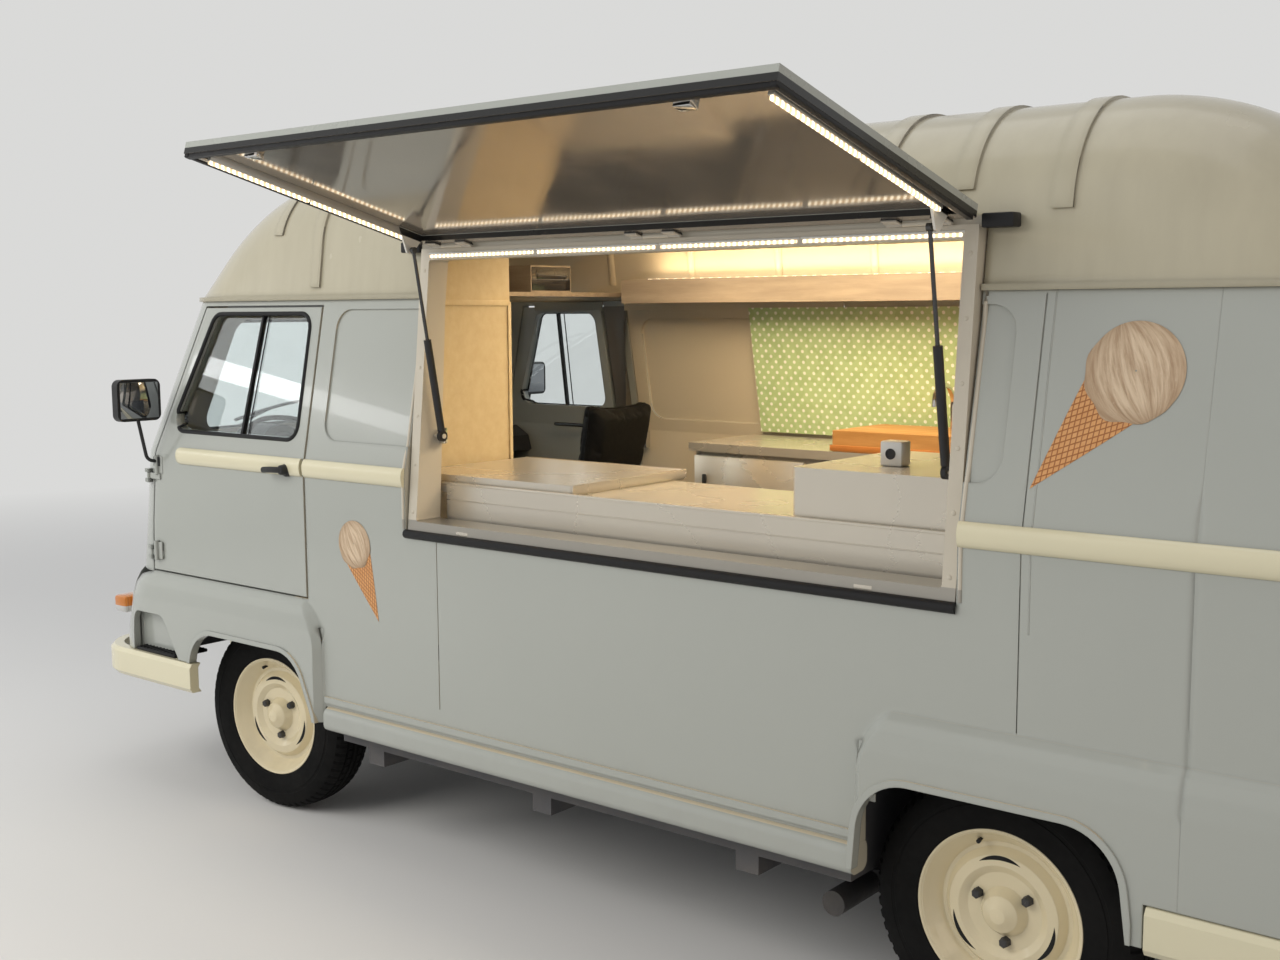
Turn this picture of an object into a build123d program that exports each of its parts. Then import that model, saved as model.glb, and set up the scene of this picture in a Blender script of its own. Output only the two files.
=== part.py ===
from build123d import *
from math import asin, cos, degrees, hypot, radians, sin, tan
import os

os.makedirs("parts", exist_ok=True)

# An ice cream truck: a forward-control van with a high moulded roof and a serving hatch.
# Everything is in millimetres. X points forwards, Y to the vehicle's left and Z up. It is drawn
# about the front hubs (X = 0), the centre line (Y = 0) and the ground (Z = 0). The pieces are
# written about the middle of the whole vehicle's footprint, hatch open, by these two shifts.
TO_MIDDLE_X = 1330.0
TO_MIDDLE_Y = -270.0

# Wheels and running gear
WHEELBASE = 2650.0
HUB_Z = 322.0
TYRE_R = 322.0
TYRE_IN, TYRE_OUT = 637.0, 803.0
TYRE_SHOULDER = 26.0
RIM_R = 198.0
RIM_IN, RIM_OUT = 646.0, 794.0
HUB_BORE_IN, HUB_BORE_OUT = 720.0, 786.0
RIM_SLOTS = 3
STUB_R = 22.0
RUNNING_GAP = 0.05
KINGPIN_Y = 655.0
STEER_AT_REST = 5.0

# Body: wall, gaps and the heights that its panels share
WALL = 40.0
GAP = 6.0
REAR_EDGE_EXTRA = 3.0
FLOOR_TOP = 360.0
FLOOR_SHEET = 30.0
FLOOR_HALF = 846.0
CAB_FLOOR_TOP = 730.0
PANEL_BOTTOM = 450.0
WING_BOTTOM = 400.0
SHOULDER_Z = 780.0
BELT_Z = 1200.0
GUTTER_Z = 1720.0
BODY_HALF = 900.0
BULGE_HALF = 930.0
CORNER_R = 250.0
REAR_CORNER_R = 160.0
NOSE_BOW = 12.0

# Where the body's panels meet, along X
NOSE_SEAM_X = 620.0
DOOR_REAR_X = -352.0
RIGHT_DOOR_REAR_X = -165.0
LOAD_DOOR_FRONT_X, LOAD_DOOR_REAR_X = -290.0, -1290.0
REAR_SEAM_X = -3090.0

# Plans of the body at four heights: height, half width, foremost point, rearmost point
BODY_PLANS = (
    (PANEL_BOTTOM, BODY_HALF, 800.0, -3520.0),
    (SHOULDER_Z, BODY_HALF, 800.0, -3520.0),
    (BELT_Z, BODY_HALF, 735.0, -3510.0),
    (GUTTER_Z, 800.0, 520.0, -3450.0),
)
# The wings and the lower nose stand out from it and round off into the shoulder: same columns
BULGE_PLANS = (
    (WING_BOTTOM, BULGE_HALF, 892.0, -3540.0),
    (560.0, BULGE_HALF, 876.0, -3540.0),
    (690.0, BULGE_HALF - 1.0, 842.0, -3539.0),
    (735.0, 925.0, 821.0, -3536.0),
    (764.0, 915.0, 808.0, -3530.0),
    (SHOULDER_Z, 901.0, 801.0, -3521.0),
)
# Bumpers, chamfered above and below: same columns
BUMPER_LOW_Z, BUMPER_HIGH_Z = 390.0, 490.0
BUMPER_PLANS = (
    (BUMPER_LOW_Z, 935.0, 935.0, -3580.0),
    (BUMPER_LOW_Z + 14.0, 945.0, 945.0, -3590.0),
    (BUMPER_HIGH_Z - 14.0, 945.0, 945.0, -3590.0),
    (BUMPER_HIGH_Z, 935.0, 935.0, -3580.0),
)
BUMPER_THICK = 34.0
BUMPER_CORNER_R = 190.0
BUMPER_FRONT_TIP_X, BUMPER_REAR_TIP_X = 240.0, -3030.0

# Wheel arches and wells, as (x, z) points seen from the side
FRONT_ARCH = ((312.0, 250.0), (230.0, 605.0), (-310.0, 605.0), (-470.0, 250.0))
REAR_ARCH = ((-2340.0, 250.0), (-2370.0, 622.0), (-2960.0, 622.0), (-3010.0, 250.0))
ARCH_CORNER_R = 130.0
ARCH_LIP, ARCH_LIP_PROUD = 16.0, 5.0
FRONT_WELL_X, REAR_WELL_X = (-480.0, 420.0), (-3040.0, -2300.0)
FRONT_WELL_IN_Y, REAR_WELL_IN_Y = 450.0, 530.0
WELL_TOP_Z = 700.0
WING_ENDS_X = (-430.0, -2340.0)
WING_CORNER_R = 170.0
WING_FLANK_ANGLE = 40.0
STEP_POCKET = ((604.0, 440.0), (604.0, 636.0), (420.0, 636.0), (292.0, 440.0))
STEP_POCKET_Y = 886.0
SILL_Z, SILL_HIGH, SILL_R = 415.0, 76.0, 24.0
SEAM_HALF, SEAM_DEEP = 1.5, 3.0
RECESS_DEEP, RECESS_R = 6.0, 60.0
RECESS_Z = (1290.0, 1690.0)

# Roof: a straight brow over the windscreen runs by one large arc into the level crown
ROOF_FRONT_X, ROOF_REAR_X = 502.0, -3450.0
ROOF_TOP_Z = 2138.0
BROW_LENGTH, BROW_ANGLE = 245.0, 45.0
ROOF_TAIL_R, ROOF_TAIL_LEAN = 640.0, 33.0
ROOF_EDGE_R = 270.0
ROOF_WALL = 25.0
ROOF_LEAN = 0.13
GUTTER_OUT, GUTTER_HIGH = 12.0, 14.0
# Ribs pressed outwards that run across the roof and down its sides: place along X, lowest height
ROOF_RIBS = ((-100.0, 1930.0), (-310.0, 1760.0), (-2300.0, 1960.0), (-2520.0, 1940.0), (-2750.0, 1890.0))
RIB_HALF, RIB_PROUD = 24.0, 7.0

# Serving hatch in the left side
HATCH_FRONT_X, HATCH_REAR_X = -825.0, -2580.0
HATCH_BOTTOM_Z, HATCH_TOP_Z = 1045.0, 1862.0
HATCH_PLANE_LOW_Y, HATCH_PLANE_TOP_Y = 896.0, 817.0
FRAME_BAR, FRAME_SILL, FRAME_HEADER = 34.0, 30.0, 32.0
LID_HINGE_Y, LID_HINGE_Z = 825.0, 1868.0
LID_LENGTH, LID_THICK = 800.0, 34.0
LID_RAIL, LID_SKIN = 30.0, 14.0
LID_OPEN_ANGLE = 14.5
HINGE_RAIL_Y, HINGE_RAIL_Z = (785.0, 812.0), (1858.0, 1880.0)
HINGE_RAIL_X = (-2660.0, -745.0)
KNUCKLE_R = 6.0
STRUT_INSET = 60.0
STRUT_FOOT_Y, STRUT_FOOT_Z = 812.0, 1320.0
STRUT_EYE_ALONG, STRUT_EYE_BELOW = 76.0, 34.0
STRUT_EYE_R, STRUT_FOOT_R, STRUT_EYE_WIDE = 9.0, 12.0, 12.0
STRUT_PIN_R = 4.0
CYLINDER_R, ROD_R = 11.0, 5.0
CYLINDER_LENGTH = 285.0
EVERYWHERE = 5000.0
ALL_Y = (-1200.0, 1200.0)

pieces = {}


def keep(name, part):
    """Label a finished piece and list it for writing."""
    part.label = name
    pieces[name] = part


def side_outline(points, low_y, high_y, radius=0.0, grow=0.0):
    """Prism with an outline seen from the side, as (x, z) points, between two Y values."""
    with BuildPart() as prism:
        with BuildSketch(Plane.XZ.offset(-high_y)) as outline:
            with BuildLine():
                Polyline(*points, close=True)
            make_face()
            if radius:
                fillet(outline.vertices(), radius)
            if grow:
                offset(amount=grow)
        extrude(amount=high_y - low_y)
    return prism.part


def front_outline(points, low_x, high_x, radius=0.0):
    """Prism with an outline seen from the front, as (y, z) points, between two X values."""
    with BuildPart() as prism:
        with BuildSketch(Plane.YZ.offset(low_x)) as outline:
            with BuildLine():
                Polyline(*points, close=True)
            make_face()
            if radius:
                fillet(outline.vertices(), radius)
        extrude(amount=high_x - low_x)
    return prism.part


def block(x, y, z, radius=0.0):
    """Box between the limits given as pairs in any order, with its upright edges rounded."""
    low_x, low_y, low_z = min(x), min(y), min(z)
    long, wide, high = max(x) - low_x, max(y) - low_y, max(z) - low_z
    with BuildPart() as box:
        with BuildSketch(Plane.XY.offset(low_z)) as plan:
            with Locations((low_x + long / 2, low_y + wide / 2)):
                Rectangle(long, wide)
            if radius:
                fillet(plan.vertices(), radius)
        extrude(amount=high)
    return box.part


def rod(start, end, radius):
    """Round bar between two points."""
    path = Vector(*end) - Vector(*start)
    with BuildPart() as bar:
        with BuildSketch(Plane(origin=start, z_dir=path)):
            Circle(radius)
        extrude(amount=path.length)
    return bar.part


def rod_along_x(start_x, end_x, y, z, radius):
    """Round bar along X."""
    return rod((start_x, y, z), (end_x, y, z), radius)


def rod_across(x, side, span, z, radius):
    """Round bar along Y on one side, between two distances out from the centre line."""
    return rod((x, side * span[0], z), (x, side * span[1], z), radius)


def mirrored(side, y):
    """Limits of a pair of Y values on the left, side 1, or on the right, side -1."""
    return tuple(sorted((side * y[0], side * y[1])))


def rectangle(low_x, high_x, low_z, high_z):
    """Corners of an upright rectangle."""
    return ((low_x, low_z), (high_x, low_z), (high_x, high_z), (low_x, high_z))


def body_form(plans, inset=0.0, front_corner=CORNER_R):
    """Solid through plans of the body: straight sides, round corners, a bowed front."""
    with BuildPart() as form:
        for z, half, front, rear in plans:
            w, f, r = half - inset, front - inset, rear + inset
            corner, tail = front_corner - inset, REAR_CORNER_R - inset
            cy = w - corner
            bow_r = cy / sin(radians(NOSE_BOW)) + corner
            bow_x = f - bow_r
            cx = bow_x + (bow_r - corner) * cos(radians(NOSE_BOW))
            with BuildSketch(Plane.XY.offset(z)):
                with BuildLine():
                    Line((r + tail, -w), (cx, -w))
                    CenterArc((cx, -cy), corner, -90, 90 - NOSE_BOW)
                    CenterArc((bow_x, 0), bow_r, -NOSE_BOW, 2 * NOSE_BOW)
                    CenterArc((cx, cy), corner, NOSE_BOW, 90 - NOSE_BOW)
                    Line((cx, w), (r + tail, w))
                    CenterArc((r + tail, w - tail), tail, 90, 90)
                    Line((r, w - tail), (r, -w + tail))
                    CenterArc((r + tail, -w + tail), tail, 180, 90)
                make_face()
        loft(ruled=True)
    return form.part


def layer(plans, outer, inner, front_corner=CORNER_R):
    """What lies between two depths under the body's skin."""
    with BuildPart() as sheet:
        add(body_form(plans, outer, front_corner))
        add(body_form(plans, inner, front_corner), mode=Mode.SUBTRACT)
    return sheet.part


def common(*parts):
    """What all the parts share."""
    with BuildPart() as shared:
        add(parts[0])
        for part in parts[1:]:
            add(part, mode=Mode.INTERSECT)
    return shared.part


BODY_WALL = layer(BODY_PLANS, 0, WALL)
BULGE_WALL = layer(BULGE_PLANS, 0, WALL)
SKIN = layer(BODY_PLANS, -1.0, RECESS_DEEP)
SEAM_SKIN = layer(BODY_PLANS, -1.0, SEAM_DEEP)
INNER_FORM = body_form(BODY_PLANS, WALL + 4.0)


def load_door_points(margin=0.0):
    """The sliding door's outline, stepped over the front wing, drawn out by a margin."""
    m = margin
    return ((LOAD_DOOR_REAR_X - m, 500.0 - m), (-465.0 + m, 500.0 - m), (-465.0 + m, 800.0 - m),
            (LOAD_DOOR_FRONT_X + m, 800.0 - m), (LOAD_DOOR_FRONT_X + m, 1690.0 + m),
            (LOAD_DOOR_REAR_X - m, 1690.0 + m))


def door_points(rear_x, margin=0.0, front_margin=0.0):
    """The cab door's outline with its rear edge at rear_x, drawn out by a margin."""
    rear = rear_x - margin if margin else rear_x + REAR_EDGE_EXTRA
    return ((rear, 790.0 - margin), (494.0 + front_margin, 790.0 - margin),
            (488.0 + front_margin, 960.0), (460.0 + front_margin, 1212.0),
            (268.0 + front_margin, 1698.0 + margin), (rear, 1698.0 + margin))


def window_points(rear_x, margin=0.0):
    """The cab door's window with its rear edge at rear_x, drawn in by a margin."""
    return ((rear_x + margin, 1285.0 + margin), (385.0 - margin, 1285.0 + margin),
            (205.0 - margin, 1675.0 - margin), (rear_x + margin, 1675.0 - margin))


def half_space(side):
    """Everything on one side of the centre line."""
    return block((-EVERYWHERE, EVERYWHERE), (0.0, side * EVERYWHERE), (-100.0, EVERYWHERE))


def side_band(side):
    """Y limits of the prisms that cut one side's wall."""
    return mirrored(side, (500.0, 1200.0))


def recess(side, low_x, high_x, low_z=RECESS_Z[0], high_z=RECESS_Z[1]):
    """Shallow pressed panel, to cut from the skin of one side."""
    return common(SKIN, half_space(side),
                  side_outline(rectangle(low_x, high_x, low_z, high_z), *side_band(side), RECESS_R))


def seam(side, x, low_z):
    """Upright joint line between two fixed panels, to cut from the skin."""
    return common(SEAM_SKIN, half_space(side),
                  block((x - SEAM_HALF, x + SEAM_HALF), ALL_Y, (low_z, GUTTER_Z - 8.0)))


def wing(side, end_x, far_x):
    """Wing on one side from its leaning end flank at end_x towards far_x."""
    flank = Plane(origin=(0, side * BODY_HALF, 0), x_dir=(-side, 0, 0), z_dir=(0, side, 0))
    corners = ((-side * end_x, 250.0), (-side * end_x, SHOULDER_Z + 20.0),
               (-side * far_x, SHOULDER_Z + 20.0), (-side * far_x, 250.0))
    with BuildPart() as form:
        with BuildSketch(flank) as outline:
            with BuildLine():
                Polyline(*corners, close=True)
            make_face()
            top = [vertex for vertex in outline.vertices() if vertex.Y > SHOULDER_Z]
            fillet(min(top, key=lambda vertex: abs(vertex.X + side * end_x)), WING_CORNER_R)
        extrude(amount=BULGE_HALF - BODY_HALF + 5.0, taper=WING_FLANK_ANGLE)
        with BuildSketch(flank) as root:
            add(outline.sketch)
        extrude(amount=-WALL)
        add(BULGE_WALL, mode=Mode.INTERSECT)
    return form.part


# Nose: all that is ahead of the cab doors, with the windscreen, lamp and grille openings
NOSE_BACK = ((494.0 + GAP, 300.0), (494.0 + GAP, 790.0), (488.0 + GAP, 960.0), (460.0 + GAP, 1212.0),
             (268.0 + GAP, 1698.0 + GAP), (268.0 + GAP, 1800.0), (1200.0, 1800.0), (1200.0, 300.0))
WINDSCREEN = ((-600.0, 1250.0), (600.0, 1250.0), (535.0, 1655.0), (-535.0, 1655.0))
WINDSCREEN_R = 60.0
LAMP_Y, LAMP_Z, LAMP_R = 560.0, 868.0, 92.0
BEZEL_R = 106.0
LAMP_BACK_X, BEZEL_BACK_X, BEZEL_FRONT_X, LENS_FRONT_X = 640.0, 700.0, 774.0, 786.0
LENS_RISE, LENS_HALF = 18.0, 88.0
GRILLE_HALF, GRILLE_LOW, GRILLE_HIGH = 404.0, 792.0, 943.0
GRILLE_FRAME = 12.0
SLATS, SLAT_HIGH = 5, 12.0
with BuildPart() as nose:
    add(common(BODY_WALL, side_outline(NOSE_BACK, -EVERYWHERE / 4, EVERYWHERE / 4)))
    add(common(BULGE_WALL, block((NOSE_SEAM_X, 1200.0), ALL_Y, (WING_BOTTOM, SHOULDER_Z))))
    add(block((NOSE_SEAM_X - 200, NOSE_SEAM_X), ALL_Y, (300.0, SHOULDER_Z)), mode=Mode.SUBTRACT)
    add(block((0.0, 1200.0), ALL_Y, (300.0, BUMPER_HIGH_Z + 2.0)), mode=Mode.SUBTRACT)
    add(front_outline(WINDSCREEN, 200.0, 1200.0, WINDSCREEN_R), mode=Mode.SUBTRACT)
    add(front_outline(rectangle(-GRILLE_HALF - 6, GRILLE_HALF + 6, GRILLE_LOW - 2, GRILLE_HIGH + 2),
                      500.0, 1200.0, 10.0), mode=Mode.SUBTRACT)
    with BuildSketch(Plane.YZ.offset(500.0)):
        with Locations((LAMP_Y, LAMP_Z), (-LAMP_Y, LAMP_Z)):
            Circle(BEZEL_R)
    extrude(amount=600.0, mode=Mode.SUBTRACT)
keep("windscreen", common(layer(BODY_PLANS, 14.0, 20.0),
                          front_outline(WINDSCREEN, 200.0, 1200.0, WINDSCREEN_R)))

GRILLE_OUTER = rectangle(-GRILLE_HALF, GRILLE_HALF, GRILLE_LOW, GRILLE_HIGH)
GRILLE_INNER = rectangle(GRILLE_FRAME - GRILLE_HALF, GRILLE_HALF - GRILLE_FRAME,
                         GRILLE_LOW + GRILLE_FRAME, GRILLE_HIGH - GRILLE_FRAME)
SLAT_PITCH = (GRILLE_HIGH - GRILLE_LOW - 2 * GRILLE_FRAME) / SLATS
with BuildPart() as grille:
    add(common(layer(BODY_PLANS, -5.0, 30.0), front_outline(GRILLE_OUTER, 500.0, 1200.0, 8.0)))
    add(front_outline(GRILLE_INNER, 500.0, 1200.0, 4.0), mode=Mode.SUBTRACT)
    for step in range(SLATS):
        middle = GRILLE_LOW + GRILLE_FRAME + (step + 0.5) * SLAT_PITCH
        bar = rectangle(GRILLE_FRAME - GRILLE_HALF, GRILLE_HALF - GRILLE_FRAME,
                        middle - SLAT_HIGH / 2, middle + SLAT_HIGH / 2)
        add(common(layer(BODY_PLANS, 4.0, 28.0), front_outline(bar, 500.0, 1200.0)))
    add(common(layer(BODY_PLANS, 12.0, 28.0),
               front_outline(rectangle(-8.0, 8.0, GRILLE_LOW + 1, GRILLE_HIGH - 1), 500.0, 1200.0)))
keep("grille", grille.part)

# Each lamp is a bowl behind a bezel and a lens that bulges forwards as part of a sphere
LENS_R = (LENS_RISE ** 2 + LENS_HALF ** 2) / (2 * LENS_RISE)
LENS_ANGLE = degrees(asin(LENS_HALF / LENS_R))
with BuildPart() as headlamps:
    for y in (-LAMP_Y, LAMP_Y):
        with BuildSketch(Plane.XZ.offset(-y)):
            with BuildLine():
                lens = CenterArc((LENS_FRONT_X - LENS_R, LAMP_Z), LENS_R, 0, LENS_ANGLE)
                Polyline(lens @ 1, (BEZEL_FRONT_X, LAMP_Z + BEZEL_R - 10.0),
                         (BEZEL_FRONT_X - 8.0, LAMP_Z + BEZEL_R - 2.0),
                         (BEZEL_BACK_X, LAMP_Z + BEZEL_R - 2.0), (BEZEL_BACK_X, LAMP_Z + LAMP_R),
                         (LAMP_BACK_X, LAMP_Z + 50.0), (LAMP_BACK_X, LAMP_Z), lens @ 0)
            make_face()
        revolve(axis=Axis((0, y, LAMP_Z), (1, 0, 0)))
keep("headlamps", headlamps.part)

# Outside hinges: a door's knuckle turns on a pin between two knuckles of the fixed part
HINGE_BARREL, HINGE_SPLIT = 10.0, 0.5
CAB_HINGE_X, CAB_HINGE_Y = 497.0, 906.0
CAB_HINGE_HEIGHTS = (850.0, 1120.0)


def hinges(places, fixed, radius, reach, depth):
    """One half of several hinges: each pin runs along its plane's Z and the fixed strap along X."""
    inner, outer = HINGE_BARREL + HINGE_SPLIT, 2.4 * HINGE_BARREL
    spans = ((-outer, -inner), (inner, outer)) if fixed else ((-HINGE_BARREL, HINGE_BARREL),)
    pin_r = radius / 2 if fixed else radius / 2 + RUNNING_GAP
    with BuildPart() as leaf:
        for low, high in spans:
            add(rod((0, 0, low), (0, 0, high), radius))
            add(block((0, reach if fixed else -reach), (-depth, -1.0), (low, high)))
        add(rod((0, 0, -outer), (0, 0, outer), pin_r), mode=Mode.ADD if fixed else Mode.SUBTRACT)
    with BuildPart() as row:
        for place in places:
            add(leaf.part.moved(place.location))
    return row.part


def cab_hinge_places(side):
    """Planes on a cab door's two hinge pins."""
    return [Plane(origin=(CAB_HINGE_X, side * CAB_HINGE_Y, z), x_dir=(1, 0, 0), z_dir=(0, 0, side))
            for z in CAB_HINGE_HEIGHTS]


with BuildPart() as hinged_nose:
    add(nose.part)
    for side in (1, -1):
        add(hinges(cab_hinge_places(side), True, KNUCKLE_R, 24.0, 26.0))
keep("nose", hinged_nose.part)


def side_panel(side):
    """One side of the body with its wings, sill and arches, before its own openings."""
    low_y, high_y = side_band(side)
    door_rear = DOOR_REAR_X if side > 0 else RIGHT_DOOR_REAR_X
    with BuildPart() as panel:
        add(common(BODY_WALL, half_space(side),
                   block((REAR_SEAM_X, 900.0), ALL_Y, (WING_BOTTOM, 1800.0))))
        add(side_outline(NOSE_BACK, -1200.0, 1200.0), mode=Mode.SUBTRACT)
        for end_x, far_x in zip(WING_ENDS_X, (1300.0, -4200.0)):
            add(common(wing(side, end_x, far_x),
                       block((REAR_SEAM_X, NOSE_SEAM_X), ALL_Y, (300.0, 900.0))))
        for arch in (FRONT_ARCH, REAR_ARCH):
            lip_y = mirrored(side, (904.0, BULGE_HALF + ARCH_LIP_PROUD))
            lip = side_outline(arch, *lip_y, ARCH_CORNER_R, ARCH_LIP)
            add(common(lip, block((-3000.0, 300.0), ALL_Y, (WING_BOTTOM, SHOULDER_Z))))
        with BuildSketch(Plane.YZ.offset(REAR_ARCH[0][0] - 5.0)) as sill:
            with Locations((side * (BODY_HALF - 12.5), SILL_Z)):
                Rectangle(75.0, SILL_HIGH)
            fillet(sill.vertices(), SILL_R)
        extrude(amount=WING_ENDS_X[0] - REAR_ARCH[0][0] - 10.0)
        add(block((REAR_ARCH[0][0], WING_ENDS_X[0]), (side * 890.0, side * 908.0), (464.0, 484.0)))
        add(side_outline(door_points(door_rear, GAP, 3 * GAP), low_y, high_y), mode=Mode.SUBTRACT)
        # The wells reach out under the wings and stop short of their closed ends
        for arch, well in ((FRONT_ARCH, (WING_ENDS_X[0] + 6.0, FRONT_WELL_X[1])),
                           (REAR_ARCH, (REAR_WELL_X[0], WING_ENDS_X[1] - 6.0))):
            add(side_outline(arch, low_y, high_y, ARCH_CORNER_R), mode=Mode.SUBTRACT)
            add(block(well, (side * 400.0, side * (BODY_HALF + 6.0)), (200.0, WELL_TOP_Z)),
                mode=Mode.SUBTRACT)
        # Step pocket over the bumper's end, with its own back
        pocket_back = mirrored(side, (STEP_POCKET_Y - 18.0, BULGE_HALF - WALL + 1.0))
        add(side_outline(STEP_POCKET, *pocket_back, 40.0, 8.0))
        add(side_outline(STEP_POCKET, *mirrored(side, (STEP_POCKET_Y, 1200.0)), 40.0), mode=Mode.SUBTRACT)
        for low_x, high_x in ((BUMPER_FRONT_TIP_X - 8.0, 1200.0), (-3600.0, BUMPER_REAR_TIP_X + 8.0)):
            add(block((low_x, high_x), ALL_Y, (300.0, BUMPER_HIGH_Z + 2.0)), mode=Mode.SUBTRACT)
        add(seam(side, -2731.0, SHOULDER_Z + 4.0), mode=Mode.SUBTRACT)
    return panel.part


with BuildPart() as left_side:
    add(side_panel(1))
    add(recess(1, HATCH_FRONT_X - 60.0, -430.0), mode=Mode.SUBTRACT)
    add(recess(1, -2670.0, HATCH_REAR_X + 60.0, 1310.0), mode=Mode.SUBTRACT)
    add(common(seam(1, -950.0, 530.0), block((-1000.0, -900.0), (0.0, 1200.0), (500.0, 1030.0))),
        mode=Mode.SUBTRACT)
    hatch_hole = rectangle(HATCH_REAR_X - 5.0, HATCH_FRONT_X + 5.0, HATCH_BOTTOM_Z - 5.0, 1900.0)
    add(side_outline(hatch_hole, 500.0, 1200.0), mode=Mode.SUBTRACT)
keep("left_side", left_side.part)

with BuildPart() as right_side:
    add(side_panel(-1))
    add(side_outline(load_door_points(GAP), -1200.0, -500.0), mode=Mode.SUBTRACT)
    for low_x, high_x in ((-1990.0, -1360.0), (-2670.0, -2050.0)):
        add(recess(-1, low_x, high_x), mode=Mode.SUBTRACT)
    # Rail that the sliding door runs back along
    add(block((-2400.0, -1310.0), (-(BODY_HALF + 12.0), -(BODY_HALF - 5.0)), (1150.0, 1176.0)))
keep("right_side", right_side.part)
with BuildPart() as load_door:
    add(common(BODY_WALL, half_space(-1), side_outline(load_door_points(), -1200.0, -500.0)))
    add(recess(-1, -1230.0, -350.0), mode=Mode.SUBTRACT)
    # The same panel shows as a recess from inside
    add(common(layer(BODY_PLANS, WALL - 12.0, WALL + 1.0), half_space(-1),
               side_outline(rectangle(-1230.0, -350.0, 1250.0, 1650.0), -1200.0, -500.0, RECESS_R)),
        mode=Mode.SUBTRACT)
keep("load_door", load_door.part)

# Cab doors, each cut from the wall, with a pane in its window and a mirror on an arm
for side, door_name, rear_x in ((1, "driver_door", DOOR_REAR_X), (-1, "passenger_door", RIGHT_DOOR_REAR_X)):
    low_y, high_y = side_band(side)
    with BuildPart() as door:
        add(common(BODY_WALL, half_space(side), side_outline(door_points(rear_x), low_y, high_y)))
        add(side_outline(window_points(rear_x + 52.0), low_y, high_y, 45.0), mode=Mode.SUBTRACT)
        # The rear edge is bevelled inside, so that it swings past the pillar
        bevel = side_outline(rectangle(rear_x, rear_x + 14.0, 780.0, 1710.0), low_y, high_y)
        add(common(layer(BODY_PLANS, 18.0, WALL + 1.0), half_space(side), bevel), mode=Mode.SUBTRACT)
        add(hinges(cab_hinge_places(side), False, KNUCKLE_R, 66.0, 8.0))
    keep(door_name, door.part)
    keep(door_name + "_glass", common(layer(BODY_PLANS, 16.0, 21.0), half_space(side),
                                      side_outline(window_points(rear_x + 52.0), low_y, high_y, 45.0)))
    mirror_name = door_name.replace("door", "mirror")
    with BuildPart() as mirror_piece:
        with BuildLine() as arm:
            FilletPolyline((448.0, side * 901.0, 1172.0), (448.0, side * 940.0, 1180.0),
                           (441.0, side * 975.0, 1330.0), radius=30.0)
        with BuildSketch(Plane(origin=arm.line @ 0, z_dir=arm.line % 0)):
            Circle(6.0)
        sweep()
        with BuildSketch(Plane.YZ.offset(424.0)) as head:
            with Locations((side * 975.0, 1388.0)):
                Rectangle(164.0, 142.0)
            fillet(head.vertices(), 24.0)
        extrude(amount=32.0)
        add(block((432.0, 464.0), (side * 901.0, side * 906.0), (1156.0, 1188.0)))
    keep(mirror_name, mirror_piece.part)

# Rear frame, with a top-hung tailgate over two side-hung doors
REAR_OPENING_HALF, REAR_OPENING_LOW, REAR_OPENING_TOP, REAR_SPLIT_Z = 700.0, 500.0, 1660.0, 1160.0
REAR_HINGE_X, REAR_HINGE_Y, REAR_HINGE_R = -3524.0, 703.0, 5.0
REAR_HINGE_HEIGHTS = (840.0, 1090.0)
TAILGATE_HINGE_X, TAILGATE_HINGE_Z = -3464.0, 1663.0
TAILGATE_HINGE_YS = (-450.0, 450.0)
TAILGATE_HINGE_PLACES = [Plane(origin=(TAILGATE_HINGE_X, y, TAILGATE_HINGE_Z), x_dir=(0, 0, 1),
                               z_dir=(0, -1, 0)) for y in TAILGATE_HINGE_YS]
REAR_WINDOW = rectangle(-520.0, 520.0, 1260.0, 1590.0)
REAR_CUT = (-3700.0, -3200.0)


def rear_hinge_places(side):
    """Planes on a rear door's two hinge pins."""
    return [Plane(origin=(REAR_HINGE_X, side * REAR_HINGE_Y, z), x_dir=(0, side, 0), z_dir=(0, 0, side))
            for z in REAR_HINGE_HEIGHTS]


with BuildPart() as rear_frame:
    add(common(BODY_WALL, block((-3600.0, REAR_SEAM_X), ALL_Y, (WING_BOTTOM, 1800.0))))
    add(common(BULGE_WALL, block((-3600.0, REAR_SEAM_X), ALL_Y, (WING_BOTTOM, 900.0))))
    add(front_outline(rectangle(-REAR_OPENING_HALF - GAP, REAR_OPENING_HALF + GAP, REAR_OPENING_LOW - GAP,
                                REAR_OPENING_TOP + GAP), *REAR_CUT), mode=Mode.SUBTRACT)
    add(block((-3700.0, REAR_SEAM_X + 1.0), ALL_Y, (300.0, BUMPER_HIGH_Z + 2.0)), mode=Mode.SUBTRACT)
    for side in (1, -1):
        add(hinges(rear_hinge_places(side), True, REAR_HINGE_R, 36.0, 14.0))
    add(hinges(TAILGATE_HINGE_PLACES, True, KNUCKLE_R, 24.0, 16.0))
keep("rear_frame", rear_frame.part)

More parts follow.
